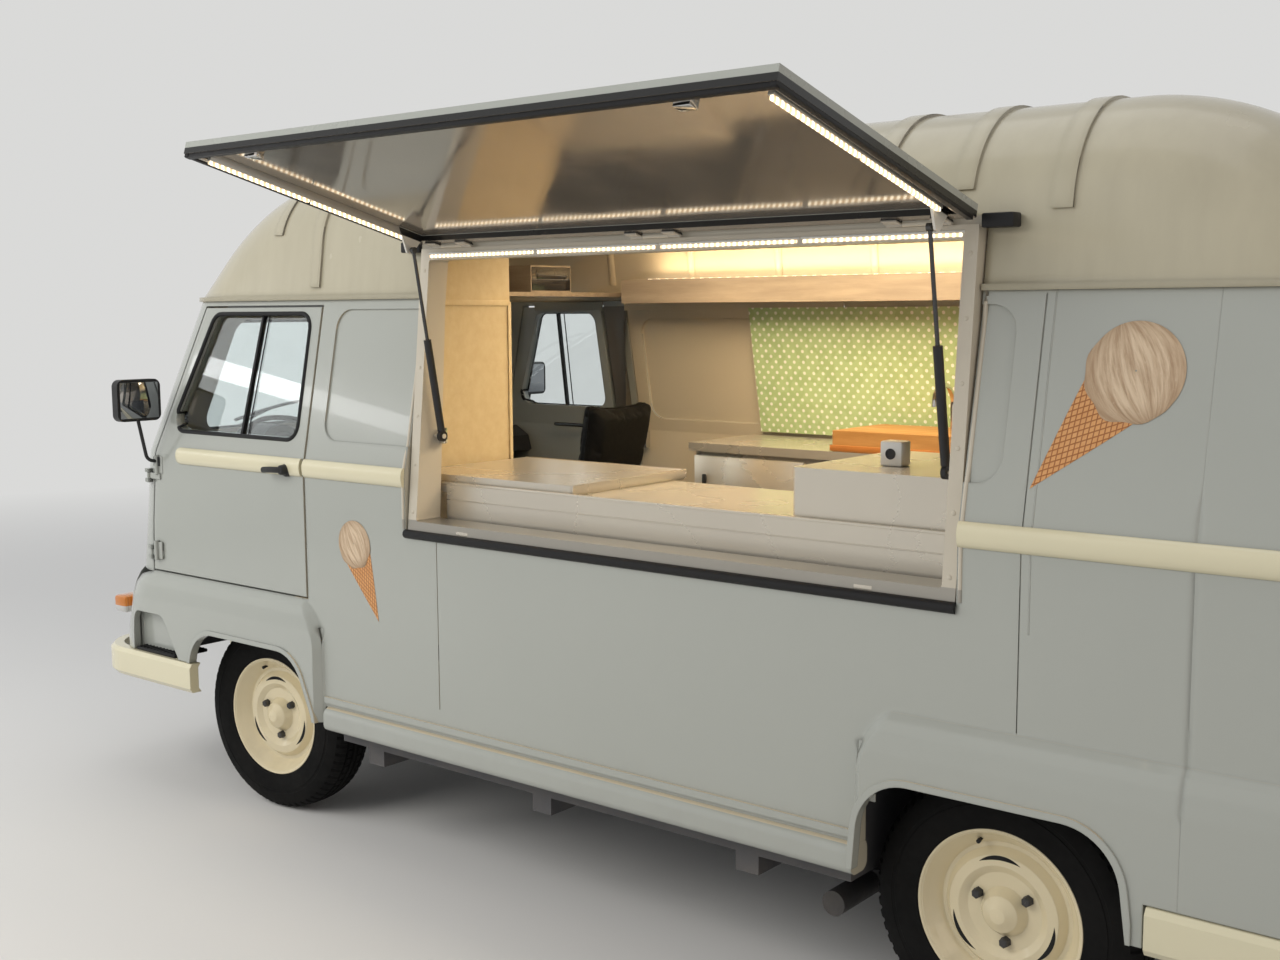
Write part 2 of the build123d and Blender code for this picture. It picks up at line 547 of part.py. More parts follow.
with BuildPart() as tailgate:
    add(common(BODY_WALL, front_outline(rectangle(-REAR_OPENING_HALF, REAR_OPENING_HALF, REAR_SPLIT_Z + GAP,
                                                  REAR_OPENING_TOP), *REAR_CUT)))
    add(front_outline(REAR_WINDOW, *REAR_CUT, 60.0), mode=Mode.SUBTRACT)
    add(hinges(TAILGATE_HINGE_PLACES, False, KNUCKLE_R, 24.0, 16.0))
keep("tailgate", tailgate.part)
keep("tailgate_glass", common(layer(BODY_PLANS, 16.0, 21.0), front_outline(REAR_WINDOW, *REAR_CUT, 60.0)))
for side, door_name in ((1, "left_rear_door"), (-1, "right_rear_door")):
    leaf_y = mirrored(side, (4.0, REAR_OPENING_HALF))
    pressed_y = mirrored(side, (90.0, 610.0))
    with BuildPart() as rear_door:
        add(common(BODY_WALL, front_outline(rectangle(*leaf_y, REAR_OPENING_LOW, REAR_SPLIT_Z), *REAR_CUT)))
        pressed = front_outline(rectangle(*pressed_y, 590.0, 1070.0), *REAR_CUT, RECESS_R)
        add(common(SKIN, pressed), mode=Mode.SUBTRACT)
        add(hinges(rear_hinge_places(side), False, REAR_HINGE_R, 36.0, 14.0))
    keep(door_name, rear_door.part)


def roof_form(inset=0.0):
    """The roof's outer form, or a parallel one when drawn in."""
    angle = radians(BROW_ANGLE)
    brow_end = (ROOF_FRONT_X - inset - BROW_LENGTH * cos(angle), GUTTER_Z + BROW_LENGTH * sin(angle))
    crown = ROOF_TOP_Z - inset
    sweep_r = (crown - brow_end[1]) / (1 - cos(angle))
    tail_r, lean = ROOF_TAIL_R - inset, radians(ROOF_TAIL_LEAN)
    rear = ROOF_REAR_X + inset / cos(lean)
    tail_end_z = crown - tail_r * (1 - sin(lean))
    tail_top = rear + (tail_end_z - GUTTER_Z) * tan(lean) + tail_r * cos(lean)
    half, rise = 800.0 - inset, 700.0
    with BuildPart() as form:
        with BuildSketch(Plane.XZ.offset(-1000.0)):
            with BuildLine():
                brow = Line((ROOF_FRONT_X - inset, GUTTER_Z), brow_end)
                sweep_arc = JernArc(brow @ 1, brow % 1, sweep_r, BROW_ANGLE)
                top = Line(sweep_arc @ 1, (tail_top, crown))
                tail = JernArc(top @ 1, top % 1, tail_r, 90 - ROOF_TAIL_LEAN)
                Polyline(tail @ 1, (rear, GUTTER_Z), (ROOF_FRONT_X - inset, GUTTER_Z))
            make_face()
        extrude(amount=2000.0)
        leaning = ((-half, GUTTER_Z), (half, GUTTER_Z), (half - rise * ROOF_LEAN, GUTTER_Z + rise),
                   (-half + rise * ROOF_LEAN, GUTTER_Z + rise))
        add(front_outline(leaning, -4000.0, 1000.0), mode=Mode.INTERSECT)
        upper = [edge for edge in form.edges() if edge.center().Z > GUTTER_Z + 5.0]
        fillet([edge for edge in upper if abs(edge.center().Y) > 500.0], ROOF_EDGE_R - inset)
    return form.part


RIB_FORM = roof_form(-RIB_PROUD)
ROOF_INSIDE = roof_form(ROOF_WALL)
GUTTER_PLANS = tuple((z, 800.0, 520.0, -3450.0) for z in (GUTTER_Z, GUTTER_Z + GUTTER_HIGH))
with BuildPart() as roof:
    add(roof_form())
    for x, low_z in ROOF_RIBS:
        add(common(RIB_FORM, block((x - RIB_HALF, x + RIB_HALF), ALL_Y, (low_z, 2500.0))))
    add(ROOF_INSIDE, mode=Mode.SUBTRACT)
    add(layer(GUTTER_PLANS, -GUTTER_OUT, 18.0))
    hatch_notch = rectangle(HATCH_REAR_X - 5.0, HATCH_FRONT_X + 5.0, 1600.0, HATCH_TOP_Z + 5.0)
    add(side_outline(hatch_notch, 500.0, 1200.0), mode=Mode.SUBTRACT)
keep("roof", roof.part)

# Hatch frame in its leaning plane, proud of the roof's side at the top, with the lid's hinge rail
FRAME_OUT = ((HATCH_PLANE_LOW_Y, HATCH_BOTTOM_Z), (HATCH_PLANE_TOP_Y, HATCH_TOP_Z),
             (740.0, HATCH_TOP_Z), (760.0, 1700.0), (800.0, HATCH_BOTTOM_Z))
STRUT_XS = (("front", HATCH_FRONT_X - STRUT_INSET - 5.0, 1), ("rear", HATCH_REAR_X + STRUT_INSET + 10.0, -1))
LID_KNUCKLE_XS = (-960.0, -1700.0, -2440.0)
LID_KNUCKLE_HALF = 40.0
with BuildPart() as hatch_frame:
    add(front_outline(FRAME_OUT, HATCH_REAR_X, HATCH_FRONT_X))
    light = rectangle(HATCH_REAR_X + FRAME_BAR, HATCH_FRONT_X - FRAME_BAR,
                      HATCH_BOTTOM_Z + FRAME_SILL, HATCH_TOP_Z - FRAME_HEADER)
    add(side_outline(light, 500.0, 1200.0, 8.0), mode=Mode.SUBTRACT)
    add(block(HINGE_RAIL_X, HINGE_RAIL_Y, HINGE_RAIL_Z))
    for x in LID_KNUCKLE_XS:
        span = (x - LID_KNUCKLE_HALF, x + LID_KNUCKLE_HALF)
        add(block(span, (HINGE_RAIL_Y[1] - 2.0, LID_HINGE_Y), (LID_HINGE_Z - 3.0, LID_HINGE_Z + 3.0)))
        add(rod_along_x(*span, LID_HINGE_Y, LID_HINGE_Z, KNUCKLE_R))
    # Each strut's foot turns on a headed pin in the jamb
    for end, x, out in STRUT_XS:
        jamb = HATCH_FRONT_X - FRAME_BAR if out > 0 else HATCH_REAR_X + FRAME_BAR
        head = x - out * (STRUT_EYE_WIDE / 2 + 1.0)
        add(rod_along_x(jamb + out, head, STRUT_FOOT_Y, STRUT_FOOT_Z, STRUT_PIN_R))
        add(rod_along_x(head, head - out * 3.0, STRUT_FOOT_Y, STRUT_FOOT_Z, STRUT_PIN_R + 3.0))
keep("hatch_frame", hatch_frame.part)


def lid_point(along, up):
    """A place on the open lid, in millimetres from its hinge, as (y, z)."""
    a = radians(LID_OPEN_ANGLE)
    return (LID_HINGE_Y + along * cos(a) - up * sin(a), LID_HINGE_Z + along * sin(a) + up * cos(a))


def lid_block(along, up, low_x, high_x):
    """Box in the lid's own directions, given as (low, high) pairs."""
    return front_outline((lid_point(along[0], up[0]), lid_point(along[1], up[0]),
                          lid_point(along[1], up[1]), lid_point(along[0], up[1])), low_x, high_x)


EYE_Y, EYE_Z = lid_point(STRUT_EYE_ALONG, -STRUT_EYE_BELOW)
with BuildPart() as hatch_lid:
    add(lid_block((8.0, LID_LENGTH), (4.0, LID_THICK), HATCH_REAR_X, HATCH_FRONT_X))
    add(lid_block((40.0, LID_LENGTH - LID_RAIL), (0.0, LID_THICK - LID_SKIN), HATCH_REAR_X + LID_RAIL,
                  HATCH_FRONT_X - LID_RAIL), mode=Mode.SUBTRACT)
    for x in LID_KNUCKLE_XS:
        for side in (1, -1):
            low, high = sorted((x + side * (LID_KNUCKLE_HALF + 1.0), x + side * (2 * LID_KNUCKLE_HALF)))
            add(lid_block((0.0, 30.0), (-3.0, 8.0), low, high))
            add(rod_along_x(low, high, LID_HINGE_Y, LID_HINGE_Z, KNUCKLE_R))
    for end, x, out in STRUT_XS:
        foot = STRUT_EYE_ALONG
        add(front_outline((lid_point(foot - 45, 22), lid_point(foot + 55, 22),
                           lid_point(foot + 9, -STRUT_EYE_BELOW - 9),
                           lid_point(foot - 9, -STRUT_EYE_BELOW - 9)),
                          *sorted((x + out * 14.0, x + out * 20.0))))
keep("hatch_lid", hatch_lid.part)

# Gas struts: cylinder below on the frame's pin, rod above to the lid's bracket
STRUT_LENGTH = hypot(EYE_Y - STRUT_FOOT_Y, EYE_Z - STRUT_FOOT_Z)
for end, x, out in STRUT_XS:
    direction = (0, EYE_Y - STRUT_FOOT_Y, EYE_Z - STRUT_FOOT_Z)
    foot = Plane(origin=(x, STRUT_FOOT_Y, STRUT_FOOT_Z), x_dir=(1, 0, 0), z_dir=direction)
    half = STRUT_EYE_WIDE / 2
    with BuildPart() as cylinder:
        with BuildSketch(foot):
            Circle(CYLINDER_R)
        extrude(amount=CYLINDER_LENGTH)
        with BuildSketch(foot.offset(40.0)):
            Circle(ROD_R + 0.3)
        extrude(amount=CYLINDER_LENGTH, mode=Mode.SUBTRACT)
        add(block((x - 30.0, x + 30.0), (700.0, 900.0), (STRUT_FOOT_Z - 30.0, STRUT_FOOT_Z + 14.0)),
            mode=Mode.SUBTRACT)
        add(rod_along_x(x - half, x + half, STRUT_FOOT_Y, STRUT_FOOT_Z, STRUT_FOOT_R + 4.0))
        add(rod_along_x(x - 30.0, x + 30.0, STRUT_FOOT_Y, STRUT_FOOT_Z, STRUT_PIN_R + RUNNING_GAP),
            mode=Mode.SUBTRACT)
    keep(end + "_strut_cylinder", cylinder.part)
    with BuildPart() as strut_rod:
        with BuildSketch(foot.offset(120.0)):
            Circle(ROD_R)
        extrude(amount=STRUT_LENGTH - 120.0)
        add(rod_along_x(x - half, x + half, EYE_Y, EYE_Z, STRUT_EYE_R))
    keep(end + "_strut_rod", strut_rod.part)

# Load floor, low between the axles, with rails, cross members and the rear wheel boxes
RAIL_Y, RAIL_HALF, RAIL_DEEP = 430.0, 30.0, 100.0
UNDER_FLOOR = FLOOR_TOP - FLOOR_SHEET
FLOOR_X = (-3470.0, -445.0)
CROSS_MEMBERS = (-600.0, -1300.0, -2000.0, -3300.0)
BOX_SHEET = 15.0
with BuildPart() as floor:
    add(block(FLOOR_X, (-FLOOR_HALF, FLOOR_HALF), (FLOOR_TOP - FLOOR_SHEET, FLOOR_TOP)))
    for y in (-RAIL_Y, RAIL_Y):
        add(block(FLOOR_X, (y - RAIL_HALF, y + RAIL_HALF), (FLOOR_TOP - RAIL_DEEP, UNDER_FLOOR)))
    for x in CROSS_MEMBERS:
        add(block((x - 35.0, x + 35.0), (-FLOOR_HALF, FLOOR_HALF), (FLOOR_TOP - 80.0, UNDER_FLOOR)))
    for side in (1, -1):
        add(block((REAR_WELL_X[0] - BOX_SHEET, REAR_WELL_X[1] + BOX_SHEET),
                  (side * (REAR_WELL_IN_Y - BOX_SHEET), side * FLOOR_HALF),
                  (FLOOR_TOP - FLOOR_SHEET, WELL_TOP_Z + BOX_SHEET)))
        add(block(REAR_WELL_X, (side * REAR_WELL_IN_Y, side * 900.0), (200.0, WELL_TOP_Z)),
            mode=Mode.SUBTRACT)
keep("floor", floor.part)

# Cab floor over the front wheels, with its step down to the load floor and the engine's cover
COVER_X, COVER_HALF, COVER_TOP, COVER_SHEET = (-430.0, 330.0), 265.0, 860.0, 20.0
with BuildPart() as cab_floor:
    add(block((-485.0, 440.0), (-FLOOR_HALF, FLOOR_HALF), (WELL_TOP_Z, CAB_FLOOR_TOP)))
    add(block((-485.0, -449.0), (-FRONT_WELL_IN_Y, FRONT_WELL_IN_Y), (FLOOR_TOP, CAB_FLOOR_TOP)))
    add(common(INNER_FORM, block((440.0, 460.0), (-1000.0, 1000.0), (500.0, 1080.0))))
    for side in (1, -1):
        inner = side * (FRONT_WELL_IN_Y - BOX_SHEET)
        add(block((-449.0, 440.0), (inner, side * FRONT_WELL_IN_Y), (460.0, CAB_FLOOR_TOP)))
        add(block((425.0, 440.0), (inner, side * FLOOR_HALF), (500.0, CAB_FLOOR_TOP)))
        add(block((-500.0, -485.0), (inner, side * FLOOR_HALF), (FLOOR_TOP, CAB_FLOOR_TOP)))
    add(block(COVER_X, (-COVER_HALF, COVER_HALF), (WELL_TOP_Z, COVER_TOP), 50.0))
    add(block((COVER_X[0] + COVER_SHEET, COVER_X[1] - COVER_SHEET),
              (COVER_SHEET - COVER_HALF, COVER_HALF - COVER_SHEET),
              (WELL_TOP_Z - 20.0, COVER_TOP - COVER_SHEET), 30.0), mode=Mode.SUBTRACT)
keep("cab_floor", cab_floor.part)
keep("engine", block((-380.0, 280.0), (-225.0, 225.0), (250.0, 820.0)))

# Sections of a wheel on the left side, as distances out from the centre line and radii
HUB_BORE_R = STUB_R + RUNNING_GAP
RIM_SECTION = (
    (RIM_IN, RIM_R), (RIM_IN, 180.0), (700.0, 166.0), (738.0, 152.0), (750.0, 112.0), (750.0, 60.0),
    (HUB_BORE_IN, 44.0), (HUB_BORE_IN, HUB_BORE_R), (HUB_BORE_OUT, HUB_BORE_R), (HUB_BORE_OUT, 0.0),
    (800.0, 0.0), (798.0, 18.0), (784.0, 42.0), (760.0, 58.0), (760.0, 90.0), (772.0, 108.0),
    (769.0, 132.0), (750.0, 148.0), (750.0, 158.0), (778.0, 180.0), (RIM_OUT - 2, 190.0), (RIM_OUT, RIM_R),
)
TYRE_SECTION = (
    (TYRE_IN, RIM_R + 1.0), (TYRE_IN, TYRE_R - TYRE_SHOULDER), (TYRE_IN + TYRE_SHOULDER, TYRE_R),
    (TYRE_OUT - TYRE_SHOULDER, TYRE_R), (TYRE_OUT, TYRE_R - TYRE_SHOULDER), (TYRE_OUT, RIM_R + 1.0),
)


def turned(section, hub_x, side):
    """Body of revolution about one hub."""
    with BuildPart() as ring:
        with BuildSketch(Plane.YZ.offset(hub_x)):
            with BuildLine():
                Polyline(*[(side * out, HUB_Z + radius) for out, radius in section], close=True)
            make_face()
        revolve(axis=Axis((hub_x, 0, HUB_Z), (0, 1, 0)))
    return ring.part


def wheel_rim(hub_x, side):
    """Steel wheel whose disc leaves crescent slots inside the rim."""
    with BuildPart() as wheel:
        add(turned(RIM_SECTION, hub_x, side))
        with BuildSketch(Plane(origin=(hub_x, side * 700.0, HUB_Z), x_dir=(1, 0, 0), z_dir=(0, side, 0))):
            with PolarLocations(0.0, RIM_SLOTS, start_angle=95.0):
                SlotArc(CenterArc((0, 0), 154.0, -22.0, 44.0), 7.0)
        extrude(amount=100.0, mode=Mode.SUBTRACT)
    return wheel.part


# Wheels on knuckles in front and on stub axles behind
BRAKE_R, BRAKE_OUT = 112.0, 680.0
KNUCKLE_PLATE_Y = (630.0, 664.0)
BALL_PIN_R, BALL_PIN_SUNK = 9.0, 8.0
STUB_OUT = HUB_BORE_OUT - 4.0


def ball_pin(side, z, radius=BALL_PIN_R):
    """Upright bar on one side's steering axis."""
    return rod((0, side * KINGPIN_Y, z[0]), (0, side * KINGPIN_Y, z[1]), radius)


for side, hand in ((1, "left"), (-1, "right")):
    turn = Location((0, side * KINGPIN_Y, 0), (0, 0, STEER_AT_REST)) * Location((0, -side * KINGPIN_Y, 0))
    keep("front_" + hand + "_rim", wheel_rim(0.0, side).moved(turn))
    keep("front_" + hand + "_tyre", turned(TYRE_SECTION, 0.0, side).moved(turn))
    keep("rear_" + hand + "_rim", wheel_rim(-WHEELBASE, side))
    keep("rear_" + hand + "_tyre", turned(TYRE_SECTION, -WHEELBASE, side))
    with BuildPart() as knuckle:
        add(block((-30.0, 30.0), mirrored(side, KNUCKLE_PLATE_Y), (HUB_Z - 90.0, HUB_Z + 90.0)))
        add(rod_across(0, side, (650.0, BRAKE_OUT), HUB_Z, BRAKE_R))
        add(rod_across(0, side, (650.0, STUB_OUT), HUB_Z, STUB_R))
        for z in (HUB_Z - BRAKE_R, HUB_Z + BRAKE_R):
            hole = (z - BALL_PIN_SUNK - 1.0, z + BALL_PIN_SUNK + 1.0)
            add(ball_pin(side, hole, BALL_PIN_R + RUNNING_GAP), mode=Mode.SUBTRACT)
    keep(hand + "_knuckle", knuckle.part.moved(turn))

# Front suspension: a beam under the engine, arms to the ball pins, springs' towers, drive shafts
ARM_TIP_Y, ARM_TIP_HALF, ARM_ROOT_HALF = 668.0, 20.0, 110.0
LOWER_ARM_Z, UPPER_ARM_Z = (188.0, 202.0), (442.0, 454.0)
with BuildPart() as front_axle:
    add(block((-120.0, 120.0), (-433.0, 433.0), (188.0, 240.0), 20.0))
    for side in (1, -1):
        for arm_z, root_half in ((LOWER_ARM_Z, ARM_ROOT_HALF), (UPPER_ARM_Z, 38.0)):
            with BuildSketch(Plane.XY.offset(arm_z[0])) as arm_plan:
                with BuildLine():
                    Polyline((-root_half, side * 404.0), (root_half, side * 404.0),
                             (ARM_TIP_HALF, side * ARM_TIP_Y), (-ARM_TIP_HALF, side * ARM_TIP_Y), close=True)
                make_face()
            extrude(amount=arm_z[1] - arm_z[0])
        add(block((-40.0, 40.0), (side * 402.0, side * 430.0), (240.0, 600.0)))
        add(ball_pin(side, (LOWER_ARM_Z[0], HUB_Z - BRAKE_R + BALL_PIN_SUNK)))
        add(ball_pin(side, (HUB_Z + BRAKE_R - BALL_PIN_SUNK, UPPER_ARM_Z[1])))
        add(rod_across(0, side, (226.0, 600.0), HUB_Z, 14.0))
        add(rod_across(0, side, (545.0, 605.0), HUB_Z, 34.0))
keep("front_axle", front_axle.part)

# Rear axle: trailing arms from a cross tube, each with a brake and a stub
SWING_ARM_Y, REAR_BRAKE_R = (540.0, 585.0), 118.0
SWING_ARM = ((-2180.0, 195.0), (-2180.0, 250.0), (-2680.0, HUB_Z + 35.0), (-2680.0, HUB_Z - 35.0))
CROSS_TUBE = (-2200.0, 222.0)
with BuildPart() as rear_axle:
    add(rod((CROSS_TUBE[0], -760.0, CROSS_TUBE[1]), (CROSS_TUBE[0], 760.0, CROSS_TUBE[1]), 32.0))
    for side in (1, -1):
        add(side_outline(SWING_ARM, *mirrored(side, SWING_ARM_Y)))
        add(rod_across(-WHEELBASE, side, (SWING_ARM_Y[1], BRAKE_OUT), HUB_Z, REAR_BRAKE_R))
        add(rod_across(-WHEELBASE, side, (650.0, STUB_OUT), HUB_Z, STUB_R))
keep("rear_axle", rear_axle.part)

# Bumpers with a tow eye under each
TOW_EYE_R, TOW_PLATE_THICK, TOW_PLATE_HALF = 16.0, 14.0, 26.0
TOW_EYE_Y, TOW_EYE_Z = 300.0, 352.0
TOW_EYE_XS = (893.0, -3562.0)
with BuildPart() as bumpers:
    add(layer(BUMPER_PLANS, 0.0, BUMPER_THICK, BUMPER_CORNER_R))
    add(block((BUMPER_REAR_TIP_X, BUMPER_FRONT_TIP_X), ALL_Y, (300.0, 600.0)), mode=Mode.SUBTRACT)
    for x in TOW_EYE_XS:
        add(block((x - TOW_PLATE_HALF, x + TOW_PLATE_HALF),
                  (TOW_EYE_Y - TOW_PLATE_THICK / 2, TOW_EYE_Y + TOW_PLATE_THICK / 2),
                  (TOW_EYE_Z - 30.0, BUMPER_LOW_Z + 10.0)))
        eye_span = (TOW_EYE_Y - TOW_PLATE_THICK, TOW_EYE_Y + TOW_PLATE_THICK)
        add(rod_across(x, 1, eye_span, TOW_EYE_Z, TOW_EYE_R), mode=Mode.SUBTRACT)
keep("bumpers", bumpers.part)

# Cab fittings
DRIVER_Y, PASSENGER_Y = 430.0, -450.0
with BuildPart() as dashboard:
    add(side_outline(((312.0, 1090.0), (330.0, 1150.0), (400.0, 1190.0), (700.0, 1190.0), (700.0, 1080.0),
                      (330.0, 1080.0)), -840.0, 840.0))
    with BuildSketch(Plane.YZ.offset(372.0)):
        with Locations((DRIVER_Y, 1160.0)):
            Circle(112.0)
    extrude(amount=170.0)
    add(block((360.0, 560.0), (DRIVER_Y - 120.0, DRIVER_Y + 120.0), (1000.0, 1080.0)), mode=Mode.SUBTRACT)
    add(INNER_FORM, mode=Mode.INTERSECT)
keep("dashboard", dashboard.part)
WHEEL_RING_R, WHEEL_GRIP_R = 190.0, 10.0
with BuildPart() as steering_wheel:
    column = Plane(origin=(250.0, DRIVER_Y, 1210.0), x_dir=(0, 1, 0), z_dir=(-0.45, 0, 0.89))
    with BuildSketch(Plane(origin=column.origin, x_dir=column.x_dir, z_dir=column.y_dir)):
        with Locations((WHEEL_RING_R, 0)):
            RegularPolygon(WHEEL_GRIP_R, 8)
    revolve(axis=Axis(column.origin, column.z_dir))
    with BuildSketch(column.offset(-6.0)):
        Rectangle(2 * WHEEL_RING_R - 8.0, 26.0)
        Circle(42.0)
    extrude(amount=12.0)
    with BuildSketch(column):
        Circle(20.0)
    extrude(amount=-140.0)
    add(dashboard.part, mode=Mode.SUBTRACT)
keep("steering_wheel", steering_wheel.part)

SEAT_LEAN = 12.0
with BuildPart() as seats:
    for low_y, high_y in ((DRIVER_Y - 155.0, DRIVER_Y + 245.0), (PASSENGER_Y - 200.0, PASSENGER_Y + 170.0)):
        add(block((-330.0, 90.0), (low_y + 30.0, high_y - 30.0), (CAB_FLOOR_TOP, 790.0)))
        with BuildSketch(Plane.XZ.offset(-high_y)) as cushion:
            with BuildLine():
                Polyline((-370.0, 775.0), (130.0, 790.0), (140.0, 890.0), (-370.0, 870.0), close=True)
            make_face()
            fillet(cushion.vertices(), 30.0)
        extrude(amount=high_y - low_y)
        upright = Plane(origin=(-350.0, high_y, 845.0), x_dir=(1, 0, 0), z_dir=(0, -1, 0))
        with BuildSketch(upright.rotated((0, -SEAT_LEAN, 0))) as back:
            with Locations((-45.0, 262.0)):
                Rectangle(90.0, 540.0)
            fillet(back.vertices(), 34.0)
        extrude(amount=high_y - low_y)
keep("seats", seats.part)
keep("partition", common(INNER_FORM, block((-660.0, -640.0), (280.0, 1000.0), (PANEL_BOTTOM, 1712.0))))

# Shop fittings
COUNTER_TOP = 1172.0
COUNTER_X = (-2545.0, -700.0)
BOX_CLEAR = 17.0
with BuildPart() as serving_counter:
    add(block(COUNTER_X, (300.0, 780.0), (COUNTER_TOP - 22.0, COUNTER_TOP)))
    add(block((COUNTER_X[0], -870.0), (765.0, 780.0), (FLOOR_TOP, 1180.0)))
    for x in (-2545.0, -1600.0, -715.0):
        add(block((x, x + 15.0), (300.0, 765.0), (FLOOR_TOP, COUNTER_TOP - 22.0)))
    add(block((-1350.0, -680.0), (240.0, 760.0), (COUNTER_TOP, 1200.0), 12.0))
    add(block((-2540.0, -2070.0), (240.0, 760.0), (COUNTER_TOP, 1300.0), 12.0))
    add(block((REAR_WELL_X[0], REAR_WELL_X[1] + BOX_CLEAR), (REAR_WELL_IN_Y - BOX_CLEAR, 900.0),
              (300.0, WELL_TOP_Z + BOX_CLEAR)), mode=Mode.SUBTRACT)
keep("serving_counter", serving_counter.part)
with BuildPart() as back_counter:
    add(block((-2900.0, -860.0), (-840.0, -420.0), (1180.0, 1210.0)))
    add(block((-2880.0, -880.0), (-840.0, -440.0), (FLOOR_TOP, 1180.0)))
    add(block((REAR_WELL_X[0] - BOX_CLEAR, REAR_WELL_X[1] + BOX_CLEAR), (-900.0, BOX_CLEAR - REAR_WELL_IN_Y),
              (300.0, WELL_TOP_Z + BOX_CLEAR)), mode=Mode.SUBTRACT)
keep("back_counter", back_counter.part)
keep("splash_panel", common(layer(BODY_PLANS, WALL + 6.0, WALL + 16.0), half_space(-1),
                            side_outline(rectangle(-2600.0, -890.0, 1222.0, 1690.0), -1200.0, -400.0)))
keep("chopping_board", block((-2050.0, -1450.0), (-770.0, -430.0), (1210.0, 1280.0), 14.0))
# Lamp box under the roof's right side, and the shelf with a radio across the cab's roof
with BuildPart() as pelmet:
    add(block((-2700.0, -400.0), (-735.0, -600.0), (1710.0, 1800.0)))
    add(common(ROOF_INSIDE, block((-310.0, -60.0), (-800.0, 800.0), (1736.0, 1752.0))))
    add(block((-300.0, -120.0), (-420.0, -200.0), (1752.0, 1850.0)))
keep("pelmet", pelmet.part)

# Lamps at the corners
with BuildPart() as indicators:
    add(common(layer(BULGE_PLANS, -34.0, 0.0), block((700.0, 1000.0), (-806.0, 806.0), (576.0, 646.0))))
    add(block((0.0, 1200.0), (-736.0, 736.0), (500.0, 700.0)), mode=Mode.SUBTRACT)
keep("indicators", indicators.part)
with BuildPart() as tail_lamps:
    for y in (-820.0, 820.0):
        add(common(layer(BODY_PLANS, -22.0, 0.0),
                   block((-3700.0, -3300.0), (y - 50.0, y + 50.0), (800.0, 960.0))))
keep("tail_lamps", tail_lamps.part)

# Under the floor
with BuildPart() as fuel_tank:
    add(block((-1950.0, -1380.0), (-60.0, 385.0), (215.0, FLOOR_TOP - FLOOR_SHEET), 60.0))
keep("fuel_tank", fuel_tank.part)
with BuildPart() as exhaust:
    with BuildSketch(Plane.YZ.offset(-1230.0)):
        with Locations((-230.0, 268.0)):
            Ellipse(90.0, 52.0)
    extrude(amount=460.0)
    with BuildLine() as pipe:
        FilletPolyline((-1225.0, -230.0, 240.0), (-1760.0, -230.0, 236.0), (-1860.0, -880.0, 236.0),
                       radius=110.0)
    with BuildSketch(Plane(origin=pipe.line @ 0, z_dir=pipe.line % 0)):
        Circle(19.0)
    sweep()
    add(rod((-775.0, -230.0, 258.0), (-380.0, -230.0, 258.0), 19.0))
    add(block((-380.0, -370.0), (-250.0, -225.0), (250.0, 290.0)))
    for x in (-1190.0, -810.0):
        add(block((x - 10.0, x + 10.0), (-245.0, -215.0), (300.0, FLOOR_TOP - FLOOR_SHEET)))
    add(block((-1792.0, -1774.0), (-394.0, -376.0), (240.0, FLOOR_TOP - FLOOR_SHEET)))
keep("exhaust", exhaust.part)

TO_MIDDLE = Location((TO_MIDDLE_X, TO_MIDDLE_Y, 0))
for name, part in pieces.items():
    placed = part.moved(TO_MIDDLE)
    placed.label = name
    export_step(placed, "parts/" + name + ".step")
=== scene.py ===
from math import atan2, cos, exp, pi, radians, sin, tan

import bpy
import bmesh
from mathutils import Matrix, Vector
from mathutils.bvhtree import BVHTree


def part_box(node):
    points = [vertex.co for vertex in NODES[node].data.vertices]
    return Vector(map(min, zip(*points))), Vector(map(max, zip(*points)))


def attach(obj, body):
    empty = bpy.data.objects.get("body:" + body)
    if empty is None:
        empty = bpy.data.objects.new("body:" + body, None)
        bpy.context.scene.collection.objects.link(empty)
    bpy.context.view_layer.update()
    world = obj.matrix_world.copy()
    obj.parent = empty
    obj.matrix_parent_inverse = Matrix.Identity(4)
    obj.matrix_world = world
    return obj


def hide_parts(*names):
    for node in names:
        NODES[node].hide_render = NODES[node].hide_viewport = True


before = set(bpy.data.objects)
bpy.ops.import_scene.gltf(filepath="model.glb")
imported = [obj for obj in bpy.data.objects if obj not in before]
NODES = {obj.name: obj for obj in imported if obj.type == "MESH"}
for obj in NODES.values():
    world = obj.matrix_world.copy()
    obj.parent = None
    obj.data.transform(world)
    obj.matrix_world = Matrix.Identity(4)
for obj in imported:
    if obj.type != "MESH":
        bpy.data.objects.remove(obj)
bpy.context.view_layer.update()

# All places below are in metres about the front hubs, as in the part: X forwards, Y to the
# vehicle's left, Z up. at() moves them to the row frame.
SHIFT = Vector((1.330, -0.270, 0.0))
UP = Vector((0, 0, 1))
FORWARDS = Vector((1, 0, 0))
LEFTWARDS = Vector((0, 1, 0))
HUB_Z = 0.322
WHEELBASE = 2.650
KINGPIN_Y = 0.655
STEER_AT_REST = 5.0
REAR_SEAM_X = -3.090
DOOR_REAR_X = -0.352
RIGHT_DOOR_REAR_X = -0.165
LID_HINGE = (0.825, 1.868)
LID_OPEN_ANGLE = 14.5
LID_LENGTH = 0.800
HATCH_X = (-2.580, -0.825)
MOULDING_Z = 1.199
HEADLAMP = (0.560, 0.868)
REAR_HINGE = (-3.5245, 0.703)

# From where rays run to the skin of the sides and of the ends, and how far in the nearest place is sought
SIDE_RAY_FROM = 3.0
END_RAY_FROM = 6.0
SOUGHT_AT = 2.2


def at(x, y, z):
    """A place in the row frame."""
    return Vector((x, y, z)) + SHIFT


